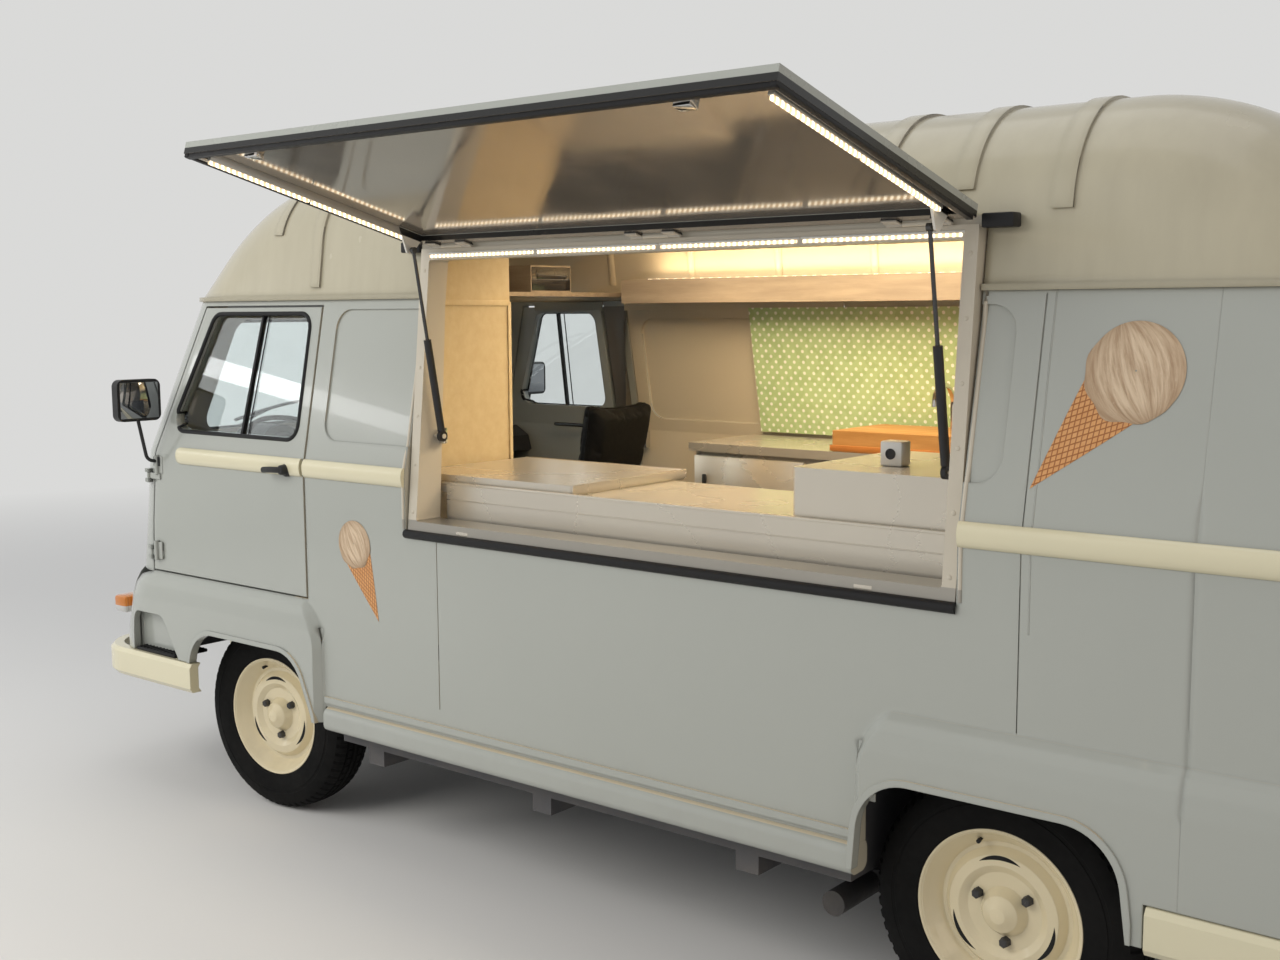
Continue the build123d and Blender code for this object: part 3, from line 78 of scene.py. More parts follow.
def lid_at(x, along, up):
    """A place on the open lid: outwards from its hinge, and up from its plane."""
    a = radians(LID_OPEN_ANGLE)
    return at(x, LID_HINGE[0] + along * cos(a) - up * sin(a), LID_HINGE[1] + along * sin(a) + up * cos(a))


LID_UP = lid_at(0, 0, 1) - lid_at(0, 0, 0)
LID_OUT = lid_at(0, 1, 0) - lid_at(0, 0, 0)


# Materials

SOCKETS = {"base": "Base Color", "rough": "Roughness", "metal": "Metallic", "specular": "Specular IOR Level",
           "coat": "Coat Weight", "coat_rough": "Coat Roughness", "clear": "Transmission Weight", "ior": "IOR",
           "light": "Emission Color", "strength": "Emission Strength"}


def summed(operation):
    """A method that writes one kind of sum."""
    return lambda self, *others: self.maths(operation, *others)


class Value:
    """A node's output, with which sums can be written."""

    __add__, __sub__, __mul__, __truediv__ = map(summed, ("ADD", "SUBTRACT", "MULTIPLY", "DIVIDE"))
    __abs__, most, least, fract, root = map(summed, ("ABSOLUTE", "MAXIMUM", "MINIMUM", "FRACT", "SQRT"))

    def __init__(self, nodes, socket):
        self.nodes, self.socket = nodes, socket

    def maths(self, operation, *others):
        """Result of a sum on this value and others, or numbers."""
        return self.nodes.out("Math", enumerate((self, *others)), operation=operation)

    def __rsub__(self, number):
        return self.nodes.out("Math", enumerate((number, self)), operation="SUBTRACT")

    def spread(self, low, high, to_low=0.0, to_high=1.0):
        """This value mapped from one range to another and held inside it."""
        return self.nodes.out("MapRange", {"From Min": low, "From Max": high, "To Min": to_low, "To Max": to_high,
                                           "Value": self})

    def blend(self, first, second):
        """Colour between two colours by this value."""
        return self.nodes.out("Mix", {0: self, 6: first, 7: second}, 2, data_type="RGBA")


def reach(a, b):
    """How far a place with two coordinates lies from their zero."""
    return (a * a + b * b).root()


class Nodes:
    """A node tree that starts empty."""

    def __init__(self, tree):
        self.tree = tree
        tree.nodes.clear()

    def feed(self, target, value):
        """Gives an input a value, a colour or a number."""
        if isinstance(value, Value):
            self.tree.links.new(value.socket, target)
        else:
            target.default_value = (*value, 1.0) if target.type == "RGBA" else value

    def out(self, kind, inputs=(), output=0, **settings):
        """Output of a new node, with its settings made and its inputs fed."""
        node = self.tree.nodes.new("ShaderNode" + kind)
        for key, value in settings.items():
            setattr(node, key, value)
        for key, value in dict(inputs).items():
            self.feed(node.inputs[key], value)
        return Value(self, node.outputs[output])

    def seen_rays(self):
        """Mask of the rays by which the camera, metal and glass see a thing."""
        camera, glossy, through = (self.out("LightPath", output="Is " + kind + " Ray")
                                   for kind in ("Camera", "Glossy", "Transmission"))
        return camera.most(glossy.most(through))


class Look(Nodes):
    """A node material with its Principled shader and the coordinates on the object itself."""

    def __init__(self, name):
        self.mat = bpy.data.materials.new(name)
        self.mat.use_nodes = True
        super().__init__(self.mat.node_tree)
        self.surface = self.tree.nodes.new("ShaderNodeBsdfPrincipled")
        self.end = self.tree.nodes.new("ShaderNodeOutputMaterial")
        self.tree.links.new(self.surface.outputs[0], self.end.inputs["Surface"])
        self.place = self.out("TexCoord", output="Object")

    def facing(self):
        """Direction in which the surface faces."""
        return self.out("TexCoord", output="Normal")

    def axes(self, vector=None):
        """Three coordinates apart."""
        node = self.tree.nodes.new("ShaderNodeSeparateXYZ")
        self.feed(node.inputs[0], vector or self.place)
        return [Value(self, socket) for socket in node.outputs]

    def along(self, vector, direction):
        """How far a vector reaches in a direction."""
        return self.out("VectorMath", {0: vector, 1: direction}, "Value", operation="DOT_PRODUCT")

    def scaled(self, scale, turned=(0.0, 0.0, 0.0), place=None):
        """Coordinates turned and stretched by three factors."""
        return self.out("Mapping", {"Vector": place or self.place, "Rotation": turned, "Scale": scale})

    def noise(self, scale, detail=4.0, rough=0.55, place=None):
        """Noise between 0 and 1 over the coordinates."""
        return self.out("TexNoise", {"Vector": place or self.place, "Scale": scale, "Detail": detail,
                                     "Roughness": rough}, "Fac")

    def flutes(self, scale):
        """Upright ribs, side by side."""
        return self.out("TexWave", {"Vector": self.place, "Scale": scale}, "Fac", bands_direction="Y")

    def set(self, bumps=(), edge=0.0, **values):
        """Feeds the shader, with bumps as (height, depth in metres) one on another, over softened edges."""
        for key, value in values.items():
            self.feed(self.surface.inputs[SOCKETS[key]], value)
        last = self.out("Bevel", {"Radius": edge}, samples=4) if edge else None
        for height, depth in bumps:
            under = {"Normal": last} if last else {}
            last = self.out("Bump", {"Strength": 1.0, "Distance": depth, "Height": height, **under})
        if last:
            self.feed(self.surface.inputs["Normal"], last)
        return self.mat


def shaded(colour, factor):
    """A colour made darker or lighter."""
    return tuple(min(1.0, c * factor) for c in colour)


def finish_mat(name, colour, rough, metal=0.0, vary=0.06, scale=6.0, grain=120.0, depth=0.00004, coat=0.0,
               dirt=0.0, dirt_top=0.55, specular=0.5, edge=0.0):
    """A surface with mottled colour and gloss, fine relief, and dirt that rises from the road."""
    look = Look(name)
    shade = look.noise(scale).blend(shaded(colour, 1 - vary), shaded(colour, 1 + vary))
    gloss = look.noise(scale * 4.0).spread(0.3, 0.7, rough * 0.88, min(1.0, rough * 1.12))
    if dirt:
        rise = look.axes()[2].spread(0.15, dirt_top, 1.0, 0.0)
        amount = rise * look.noise(9.0, 6.0).spread(0.35, 0.75) * dirt
        shade = amount.blend(shade, (0.16, 0.14, 0.12))
        gloss = gloss.most(amount * 0.9)
    return look.set([(look.noise(grain, 2.0), depth)], edge, base=shade, rough=gloss, metal=metal,
                    specular=specular, coat=coat, coat_rough=0.04)


BLUE_GREY = (0.365, 0.378, 0.345)
CREAM = (0.66, 0.61, 0.43)
SHELL = (0.450, 0.410, 0.300)
LINING = (0.58, 0.50, 0.36)
DUST = (0.20, 0.18, 0.16)


def inner_side(look, low_x, high_x, axis_z):
    """Mask of the faces that look inwards, to the middle of the load space."""
    x, y, z = look.axes()
    held = x.most(low_x + SHIFT.x).least(high_x + SHIFT.x)
    outwards = look.out("CombineXYZ", enumerate((x - held, y - SHIFT.y, z - axis_z)))
    return look.along(look.facing(), outwards).spread(0.02, -0.02)


def body_mat(name, wing=False):
    """Gloss paint outside and a pale lining inside; on wings also the wide soft shoulder of their arches."""
    look = Look(name)
    inside = inner_side(look, -2.45, -0.35, 1.0)
    x, y, z = look.axes()
    paint = look.noise(1.7, 3.0).blend(shaded(BLUE_GREY, 0.97), shaded(BLUE_GREY, 1.03))
    dust = z.spread(0.28, 0.55, 1.0, 0.0) * look.noise(11.0, 6.0).spread(0.4, 0.8) * 0.20
    lining = look.noise(4.0).blend(shaded(LINING, 0.95), LINING)
    cab = x.spread(-0.285 + SHIFT.x, -0.283 + SHIFT.x)
    shade = inside.blend(dust.blend(paint, DUST), cab.blend(lining, shaded(BLUE_GREY, 0.8)))
    below = look.axes(look.facing())[2].spread(-0.6, -0.8) * z.spread(0.46, 0.44)
    gloss = look.noise(5.0, 5.0).spread(0.3, 0.75, 0.12, 0.20)
    for mask, rough in ((inside, 0.42), (dust, 0.9), (below, 0.7)):
        gloss = gloss.most(mask * rough)
    edge = 0.005
    if wing:
        shoulder = abs(y - SHIFT.y).spread(0.875, 0.885) * z.spread(0.67, 0.69)
        edge = shoulder.spread(0.0, 1.0, 0.004, 0.022)
    return look.set([(look.noise(1.3, 2.0), 0.006), (look.noise(260.0, 1.0), 0.00003)], edge,
                    base=below.blend(shade, (0.07, 0.07, 0.07)), rough=gloss, coat=0.5, coat_rough=0.03)


def roof_mat():
    """Off-white moulded shell with faint streaks and a cream lining."""
    look = Look("roof_shell_finish")
    inside = inner_side(look, -2.45, -0.15, 1.60)
    streaks = look.noise(1.6, 5.0, place=look.scaled((9.0, 9.0, 1.2)))
    shade = streaks.spread(0.3, 0.8).blend(SHELL, shaded(SHELL, 0.90))
    gloss = look.noise(4.0, 5.0).spread(0.3, 0.7, 0.16, 0.28).most(inside * 0.55)
    return look.set([(look.noise(2.2, 2.0), 0.004), (look.noise(180.0, 2.0), 0.00002)], 0.030,
                    base=inside.blend(shade, LINING), rough=gloss, coat=0.3, coat_rough=0.08)


def brushed_mat(name, colour, rough):
    """Brushed sheet metal with long fine scratches, smears and soft waves."""
    look = Look(name)
    lines = look.noise(14.0, 1.0, 0.5, look.scaled((0.5, 7.0, 7.0)))
    smears = look.noise(2.2, 2.0)
    gloss = lines.spread(0.3, 0.7, rough * 0.995, rough * 1.005) + smears.spread(0.35, 0.75, 0.0, 0.05)
    return look.set([(look.noise(2.0, 1.0), 0.0006), (lines, 0.000002)], rough=gloss, metal=0.62,
                    base=smears.spread(0.35, 0.75).blend(shaded(colour, 0.94), colour))


def lid_mat():
    """The lid: polished sheet below, body paint on top, shell colour by the hinge, black rubber edges."""
    look = Look("hatch_lid_finish")
    hinge = lid_at(0, 0, 0)
    out = look.along(look.place, LID_OUT) - LID_OUT.dot(hinge)
    up = look.along(look.place, LID_UP) - LID_UP.dot(hinge)
    facing = look.along(look.facing(), LID_UP)
    under = facing.spread(-0.6, -0.8)
    rim = up.spread(0.0185, 0.0195).blend((0.012, 0.012, 0.012), BLUE_GREY)
    rim = facing.spread(0.6, 0.8).blend(rim, out.spread(0.14, 0.145).blend(SHELL, BLUE_GREY))
    smears = look.noise(6.0, 5.0)
    shade = under.blend(rim, smears.blend((0.34, 0.30, 0.25), (0.42, 0.375, 0.32)))
    hanging = up.spread(0.001, -0.001)
    for low, high, colour in ((0.034, 0.036, (0.74, 0.72, 0.66)), (0.036, 0.034, (0.42, 0.39, 0.34))):
        shade = (hanging * out.spread(low, high)).blend(shade, colour)
    polished = under * up.spread(-0.001, 0.001) * 0.62
    gloss = smears.spread(0.3, 0.8, 0.07, 0.16) + polished.spread(0.0, 0.62, 0.15, 0.0)
    return look.set([(look.noise(2.6, 1.0), 0.0016)], base=shade, metal=polished, rough=gloss)


def frame_mat():
    """Painted hatch frame, whose sill below is bare sheet."""
    look = Look("hatch_frame_finish")
    sill = look.axes()[2].spread(1.0785, 1.0775)
    paint = look.noise(5.0).blend((0.50, 0.455, 0.37), (0.56, 0.51, 0.42))
    sheet = look.noise(9.0, place=look.scaled((0.5, 3.0, 3.0))).blend((0.34, 0.32, 0.28), (0.40, 0.375, 0.33))
    return look.set([(look.noise(7.0, 1.0), 0.0003)], base=sill.blend(paint, sheet),
                    metal=sill.spread(0.0, 1.0, 0.0, 0.6), rough=look.noise(3.0, 1.0).spread(0.3, 0.7, 0.28, 0.33))


def glass_mat(name, tint):
    """Clear tinted pane with a little dust."""
    look = Look(name)
    dust = look.noise(14.0, 6.0).spread(0.35, 0.8)
    return look.set(base=dust.blend(tint, shaded(tint, 0.97)), rough=dust * 0.04, ior=1.45, clear=1.0)


def lens_mat(name, lower, upper, change_z):
    """Fluted lens, of another colour above a height, darkened along its flutes by painted shade."""
    look = Look(name)
    flutes = look.flutes(28.0)
    base = look.axes()[2].spread(change_z - 0.0005, change_z + 0.0005).blend(lower, upper)
    # Up to a quarter darker along the flutes: painted shade of the ribs
    return look.set([(flutes, 0.0008)], base=(flutes * 0.25).blend(base, (0.03, 0.02, 0.02)), rough=0.12, coat=0.6,
                    clear=0.25)


def headlamp_mat():
    """Clear fluted lens inside a bright ring, told apart by the distance from the lamp's middle; the lens is painted
    with bands of highlight and shade along its flutes.
    """
    look = Look("headlamp_finish")
    x, y, z = look.axes()
    ring = reach(abs(y - SHIFT.y) - HEADLAMP[0], z - HEADLAMP[1]).spread(0.0878, 0.0884)
    flutes = look.flutes(34.0)
    # Grey and near-white bands along the flutes: painted highlight and shade on the clear lens
    base = ring.blend(flutes.blend((0.34, 0.36, 0.37), (0.80, 0.82, 0.83)), (0.80, 0.80, 0.80))
    return look.set([(flutes * ring.spread(0.0, 1.0, 1.0, 0.0), 0.0015)], base=base, metal=ring, coat=0.8,
                    rough=look.noise(30.0).spread(0.3, 0.7, 0.06, 0.12))


def wood_mat(name, light, dark, rough=0.45):
    """Wood whose grain runs along X."""
    look = Look(name)
    grain = look.scaled((1.0, 9.0, 9.0))
    rings = look.noise(3.0, 6.0, 0.6, grain)
    pores = look.noise(9.0, 3.0, place=look.scaled((3.0, 22.0, 22.0), place=grain))
    shade = rings.spread(0.35, 0.68).blend(light, dark)
    return look.set([(rings, 0.0002), (pores, 0.0001)], rough=rings.spread(0.3, 0.7, rough - 0.06, rough + 0.10),
                    base=pores.spread(0.58, 0.75, 0.0, 0.35).blend(shade, shaded(dark, 0.5)))


def dotted_mat(step=0.040):
    """Green wall board with rows of small white dots, each row half a step along."""
    look = Look("green_panel_finish")
    x, y, z = look.axes()
    row = z / (step * 0.5)
    shifted = row.maths("FLOOR").maths("FLOORED_MODULO", 2.0) * 0.5
    dot = reach((x / step + shifted).fract() - 0.5, (row.fract() - 0.5) * 0.5).spread(0.14, 0.17, 1.0, 0.0)
    green = look.noise(5.0).blend((0.42, 0.55, 0.27), (0.47, 0.60, 0.30))
    return look.set([(look.noise(200.0, 2.0), 0.00003)], base=dot.blend(green, (0.85, 0.86, 0.76)),
                    rough=look.noise(20.0).spread(0.3, 0.7, 0.22, 0.34))


def led_mat(name, strength, pitch=60.0):
    """Warm light strip with its row of small lamps."""
    look = Look(name)
    x, y, z = look.axes()
    bead = abs(((x + y) * pitch).fract() - 0.5).spread(0.15, 0.32, 1.0, 0.35)
    shade = bead.blend((1.0, 0.62, 0.28), (1.0, 0.90, 0.70))
    return look.set(base=shade, light=shade, strength=bead * strength, rough=0.4)


def waffle_mat(name, lean, pitch):
    """Baked cone with two sets of grooves that cross, in a frame that leans with the cone."""
    look = Look(name)
    place = look.scaled((1.0, 1.0, 1.0), (0.0, lean, 0.0))
    x, y, z = look.axes(place)
    x, z = x * 1.25, z * 0.75
    first, second = (abs((line * pitch).fract() - 0.5) for line in (x + z, x - z))
    groove = first.least(second).spread(0.03, 0.16, 1.0, 0.0)
    base = look.noise(40.0, place=place).blend((0.56, 0.25, 0.08), (0.72, 0.38, 0.15))
    return look.set([(groove, 0.0006)], base=groove.blend(base, (0.30, 0.10, 0.025)),
                    rough=groove.spread(0.0, 1.0, 0.28, 0.40))


def scoop_mat(name, middle, radius, lean):
    """Scooped ice cream, whose combed ridges run from pole to pole of a ball, shaded towards its edge."""
    look = Look(name)
    x, y, z = look.axes()
    across = (x - (middle[0] + SHIFT.x)) * (1.0 / radius)
    rise = (z - middle[1]) * (1.0 / radius)
    s = across * cos(lean) - rise * sin(lean)
    t = across * sin(lean) + rise * cos(lean)
    girth = (1.25 - t * t).most(0.05).root()
    comb = look.out("CombineXYZ", enumerate((s / girth * 5.5, t * 0.55)))
    ridges = look.noise(1.5, 4.0, 0.6, comb)
    edge = (across * across + rise * rise).spread(0.45, 1.10)
    shade = ridges.spread(0.36, 0.60).blend((0.40, 0.27, 0.165), (0.68, 0.53, 0.37))
    shade = look.noise(130.0, 4.0).spread(0.60, 0.80, 0.0, 0.3).blend(shade, (0.80, 0.68, 0.52))
    return look.set([(ridges, 0.006)], base=(edge * 0.6).blend(shade, (0.34, 0.215, 0.12)), rough=0.42)


MATS = {
    "body": body_mat("body_paint_finish"),
    "wing": body_mat("wing_paint_finish", wing=True),
    "roof": roof_mat(),
    "lid": lid_mat(),
    "cream": finish_mat("cream_paint_finish", CREAM, 0.20, vary=0.04, scale=5.0, coat=0.5, dirt=0.35, dirt_top=0.45,
                        edge=0.004),
    "rim": finish_mat("rim_paint_finish", (0.72, 0.62, 0.41), 0.22, vary=0.04, scale=5.0, coat=0.5, dirt=0.25,
                      dirt_top=0.40, edge=0.004),
    "lining": finish_mat("cream_lining", LINING, 0.45, vary=0.05, scale=4.0, grain=90.0, depth=0.0001),
    "frame": frame_mat(),
    "floor": finish_mat("floor_finish", (0.07, 0.07, 0.075), 0.6, vary=0.2, depth=0.0003, dirt=0.5),
    "stainless": brushed_mat("stainless_finish", (0.66, 0.61, 0.52), 0.26),
    "aluminium": brushed_mat("aluminium_finish", (0.62, 0.61, 0.58), 0.32),
    "iron": finish_mat("iron_finish", (0.05, 0.05, 0.052), 0.62, metal=0.3, vary=0.3, scale=20.0, depth=0.0004,
                       dirt=0.5),
    "tyre": finish_mat("tyre_rubber", (0.006, 0.006, 0.006), 0.72, vary=0.25, scale=14.0, grain=300.0, depth=0.00012,
                       dirt=0.04, dirt_top=0.7, specular=0.12),
    "rubber": finish_mat("rubber_trim", (0.012, 0.012, 0.013), 0.46, vary=0.2, scale=20.0, grain=240.0, depth=0.0001,
                         specular=0.3),
    "plastic": finish_mat("black_plastic_finish", (0.018, 0.018, 0.019), 0.40, vary=0.15, scale=30.0, grain=420.0,
                          depth=0.00012, specular=0.4),
    "vinyl": finish_mat("seat_vinyl_finish", (0.008, 0.008, 0.008), 0.50, vary=0.18, scale=18.0, grain=210.0,
                        depth=0.0003, specular=0.25),
    "glass": glass_mat("glass_finish", (0.86, 0.92, 0.92)),
    "lamp": headlamp_mat(),
    "indicator": lens_mat("indicator_lens", (0.80, 0.80, 0.78), (0.85, 0.27, 0.020), 0.605),
    "tail": lens_mat("tail_lens", (0.50, 0.015, 0.012), (0.80, 0.20, 0.02), 0.905),
    "wood": wood_mat("oiled_board", (0.50, 0.26, 0.085), (0.38, 0.18, 0.05)),
    "orange_wood": wood_mat("board_edge", (0.50, 0.20, 0.045), (0.39, 0.14, 0.03)),
    "laminate": wood_mat("grey_laminate", (0.40, 0.32, 0.23), (0.29, 0.23, 0.17)),
    "panel": wood_mat("painted_board", (0.60, 0.49, 0.30), (0.55, 0.43, 0.25), 0.5),
    "dark_panel": finish_mat("dark_board", (0.11, 0.095, 0.075), 0.4, vary=0.1),
    "dots": dotted_mat(),
    "led": led_mat("lamp_strip_finish", 2.6),
    "glow": led_mat("shelf_lamp_finish", 9.0, 24.0),
    "white": finish_mat("white_plastic", (0.72, 0.71, 0.66), 0.35, vary=0.03),
    "mirror": finish_mat("mirror_glass", (0.30, 0.31, 0.33), 0.03, metal=1.0, vary=0.02, depth=0.00001),
    "chrome": finish_mat("chrome_finish", (0.72, 0.72, 0.72), 0.10, metal=1.0, vary=0.04, depth=0.00001),
    "dark_steel": finish_mat("dark_rod_finish", (0.08, 0.08, 0.08), 0.22, metal=0.8, vary=0.08),
    # Near black that stands for the shade in slots and behind the grille: painted shade
    "dark": finish_mat("opening_painted_shade", (0.006, 0.006, 0.006), 0.8, vary=0.2),
    "dial": finish_mat("dial_face", (0.02, 0.02, 0.022), 0.25, vary=0.2, coat=1.0),
}

# Which finish each CAD node has, by its name or by how its name ends
NODE_FINISH = {
    "bumpers": "cream", "floor": "floor", "cab_floor": "floor", "roof": "roof", "hatch_frame": "frame",
    "hatch_lid": "lid", "serving_counter": "stainless", "back_counter": "stainless", "splash_panel": "dots",
    "pelmet": "laminate", "chopping_board": "wood", "partition": "panel", "seats": "vinyl", "dashboard": "plastic",
    "steering_wheel": "plastic", "headlamps": "lamp", "indicators": "indicator", "tail_lamps": "tail",
    "fuel_tank": "floor", "exhaust": "iron", "grille": "aluminium", "engine": "iron", "nose": "wing",
    "left_side": "wing", "right_side": "wing", "rear_frame": "wing",
}
ENDINGS = (("_tyre", "tyre"), ("_rim", "rim"), ("glass", "glass"), ("windscreen", "glass"), ("knuckle", "iron"),
           ("axle", "iron"), ("strut_cylinder", "plastic"), ("mirror", "plastic"), ("strut_rod", "dark_steel"))
for name, node in NODES.items():
    finish = NODE_FINISH.get(name) or next((f for e, f in ENDINGS if name.endswith(e)), "body")
    node.data.materials.clear()
    node.data.materials.append(MATS[finish])


# Making pieces

def in_scene(name, data):
    """A new object of the scene."""
    obj = bpy.data.objects.new(name, data)
    bpy.context.scene.collection.objects.link(obj)
    return obj


def piece(name, shape, finish, body="van", smooth=35.0, stands_for=()):
    """A mesh piece of points and faces that rides on a body."""
    points, faces = shape
    mesh = bpy.data.meshes.new(name)
    mesh.from_pydata([tuple(p) for p in points], [], faces)
    mesh.validate()
    made = bmesh.new()
    made.from_mesh(mesh)
    bmesh.ops.recalc_face_normals(made, faces=made.faces)
    made.to_mesh(mesh)
    made.free()
    mesh.shade_smooth()
    mesh.set_sharp_from_angle(angle=radians(smooth))
    mesh.materials.append(MATS[finish])
    obj = in_scene(name, mesh)
    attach(obj, body)
    if stands_for:
        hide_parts(*stands_for)
    return obj


def rounded(points, radius, step=0.03):
    """Points round an outline whose corners are rounded by arcs."""
    found = []
    count = len(points)
    for i in range(count):
        before, corner, after = (Vector(points[(i + k) % count]) for k in (-1, 0, 1))
        to_before, to_after = (before - corner).normalized(), (after - corner).normalized()
        half = to_before.angle(to_after) / 2
        back = radius / tan(half)
        start, end = corner + to_before * back, corner + to_after * back
        middle = corner + (to_before + to_after).normalized() * (radius / sin(half))
        turn = pi - 2 * half
        parts = max(3, int(radius * turn / 0.008))
        a, b = start - middle, end - middle
        for k in range(parts + 1):
            t = k / parts
            found.append(middle + (a * sin((1 - t) * turn) + b * sin(t * turn)) / sin(turn))
        span = (after - end).length - radius
        count_on = int(max(0.0, span) / step)
        found += [end + (after - end).normalized() * (span * k / (count_on + 1)) for k in range(1, count_on + 1)]
    return found


def bands(rows, wide, closed_rows=False, closed_wide=False):
    """Faces between rows of points, each row of one number of points."""
    faces = []
    for i in range(rows if closed_rows else rows - 1):
        a, b = i * wide, ((i + 1) % rows) * wide
        faces += [(a + k, a + (k + 1) % wide, b + (k + 1) % wide, b + k)
                  for k in range(wide if closed_wide else wide - 1)]
    return faces


def sweep(points, outs, section, closed=False):
    """Points and faces of a section carried along a line: (across, out) pairs."""
    verts = []
    count, wide = len(points), len(section)
    for i in range(count):
        if closed:
            before, after = points[i - 1], points[(i + 1) % count]
        else:
            before, after = points[max(i - 1, 0)], points[min(i + 1, count - 1)]
        run = (after - before).normalized()
        out = (outs[i] - run * outs[i].dot(run)).normalized()
        across = run.cross(out)
        verts += [points[i] + across * u + out * v for u, v in section]
    faces = bands(count, wide, closed, True)
    if not closed:
        faces += [tuple(range(wide)), tuple(range((count - 1) * wide, count * wide))]
    return verts, faces


def turned_ray(axis, first, angle):
    """A direction square to an axis, turned about it."""
    return first * cos(angle) + axis.cross(first) * sin(angle)


def lathe(profile, centre, axis, first, turns=64):
    """Points and faces of a profile of (along, radius) pairs turned about an axis."""
    axis, first = axis.normalized(), first.normalized()
    verts = []
    for i in range(turns):
        ray = turned_ray(axis, first, 2 * pi * i / turns)
        verts += [centre + axis * far + ray * radius for far, radius in profile]
    return verts, bands(turns, len(profile), closed_rows=True)


def bevelled(matrices, bevel):
    """Points and faces of unit cubes placed by matrices, with their edges rounded."""
    made = bmesh.new()
    for matrix in matrices:
        fresh = bmesh.ops.create_cube(made, size=1.0, matrix=matrix)["verts"]
        edges = list({edge for vert in fresh for edge in vert.link_edges})
        least = min(matrix.col[k].xyz.length for k in range(3))
        bmesh.ops.bevel(made, geom=edges, offset=min(bevel, least * 0.3), segments=2, profile=0.5, affect="EDGES")
    made.verts.index_update()
    verts = [v.co.copy() for v in made.verts]
    faces = [tuple(v.index for v in f.verts) for f in made.faces]
    made.free()
    return verts, faces


def boxes(*items, bevel=0.002):
    """Points and faces of rounded boxes, each given by its limits in x, y and z about the front hubs."""
    matrices = []
    for item in items:
        low, high = (at(*(pick(item[k:k + 2]) for k in (0, 2, 4))) for pick in (min, max))
        matrices.append(Matrix.Translation((low + high) / 2) @ Matrix.Diagonal((*(high - low), 1.0)))
    return bevelled(matrices, bevel)


def lid_boxes(*items, bevel=0.001):
    """Points and faces of rounded boxes on the lid, each given by its limits in x, along and up."""
    turn = Matrix((FORWARDS, LID_OUT, LID_UP)).transposed().to_4x4()
    matrices = []
    for item in items:
        middle = lid_at(*(sum(item[k:k + 2]) / 2 for k in (0, 2, 4)))
        size = (abs(item[k + 1] - item[k]) for k in (0, 2, 4))
        matrices.append(Matrix.Translation(middle) @ turn @ Matrix.Diagonal((*size, 1.0)))
    return bevelled(matrices, bevel)


def joined(*shapes):
    """Several shapes as one."""
    verts, faces = [], []
    for more_verts, more_faces in shapes:
        base = len(verts)
        verts += more_verts
        faces += [tuple(base + i for i in face) for face in more_faces]
    return verts, faces


def smooth_line(points, step):
    """Points along a curve that runs smoothly through the ones given."""
    found = []
    for i in range(len(points) - 1):
        p0 = points[max(i - 1, 0)]
        p1, p2 = points[i], points[i + 1]
        p3 = points[min(i + 2, len(points) - 1)]
        parts = max(2, int((p2 - p1).length / step))
        for k in range(parts):
            t = k / parts
            found.append(0.5 * (2 * p1 + (p2 - p0) * t + (2 * p0 - 5 * p1 + 4 * p2 - p3) * t * t
                                + (3 * p1 - p0 - 3 * p2 + p3) * t * t * t))
    found.append(points[-1].copy())
    return found


def circle(radius, sides):
    """Section of a round bar."""
    return [(radius * cos(2 * pi * k / sides), radius * sin(2 * pi * k / sides)) for k in range(sides)]


def tube(places, radius, step=0.012):
    """Points and faces of a round bar bent smoothly through places about the front hubs."""
    points = smooth_line([at(*p) for p in places], step)
    run = points[-1] - points[0]
    least = min(range(3), key=lambda k: abs(run[k]))
    out = Vector([float(k == least) for k in range(3)])
    return sweep(points, [out] * len(points), circle(radius, 12))


def oval(half_wide, high, parts=6, foot=-0.003):
    """Section of a half round strip that stands on a surface."""
    top = [(half_wide * cos(pi * k / parts), high * sin(pi * k / parts)) for k in range(parts + 1)]
    return [(half_wide, foot)] + top + [(-half_wide, foot)]


def flat(half_wide, low, high):
    """Section of a flat strip."""
    return [(half_wide, low), (half_wide, high), (-half_wide, high), (-half_wide, low)]


def skin(*objects):
    """A tree that finds places on the surface of objects."""
    return BVHTree.FromPolygons(*joined(*(([v.co.copy() for v in obj.data.vertices],
                                           [tuple(p.vertices) for p in obj.data.polygons]) for obj in objects)))


def skin_of(*names):
    """A tree that finds places on the surface of CAD nodes."""
    return skin(*(NODES[name] for name in names))


def laid(tree, starts, way):
    """Places and outward directions where rays from their starts meet a surface, or its nearest places."""
    points, outs = [], []
    for start in starts:
        hit = tree.ray_cast(start, way)
        if hit[0] is None:
            hit = tree.find_nearest(start + way * SOUGHT_AT)
        points.append(hit[0])
        outs.append(hit[1] if hit[1].dot(way) < 0 else -hit[1])
    return points, outs


def side_line(tree, side, points):
    """A line of (x, z) places put on one side's surface."""
    return laid(tree, [at(x, side * SIDE_RAY_FROM, z) for x, z in points], Vector((0, -side, 0)))


def end_line(tree, end, points):
    """A line of (y, z) places put on the front, 1, or the back, -1."""
    return laid(tree, [at(end * END_RAY_FROM, y, z) for y, z in points], Vector((-end, 0, 0)))


def spaced(first, last, step):
    """Numbers from one to another at about a step."""
    count = max(1, round(abs(last - first) / step))
    return [first + (last - first) * k / count for k in range(count + 1)]


# Wheels

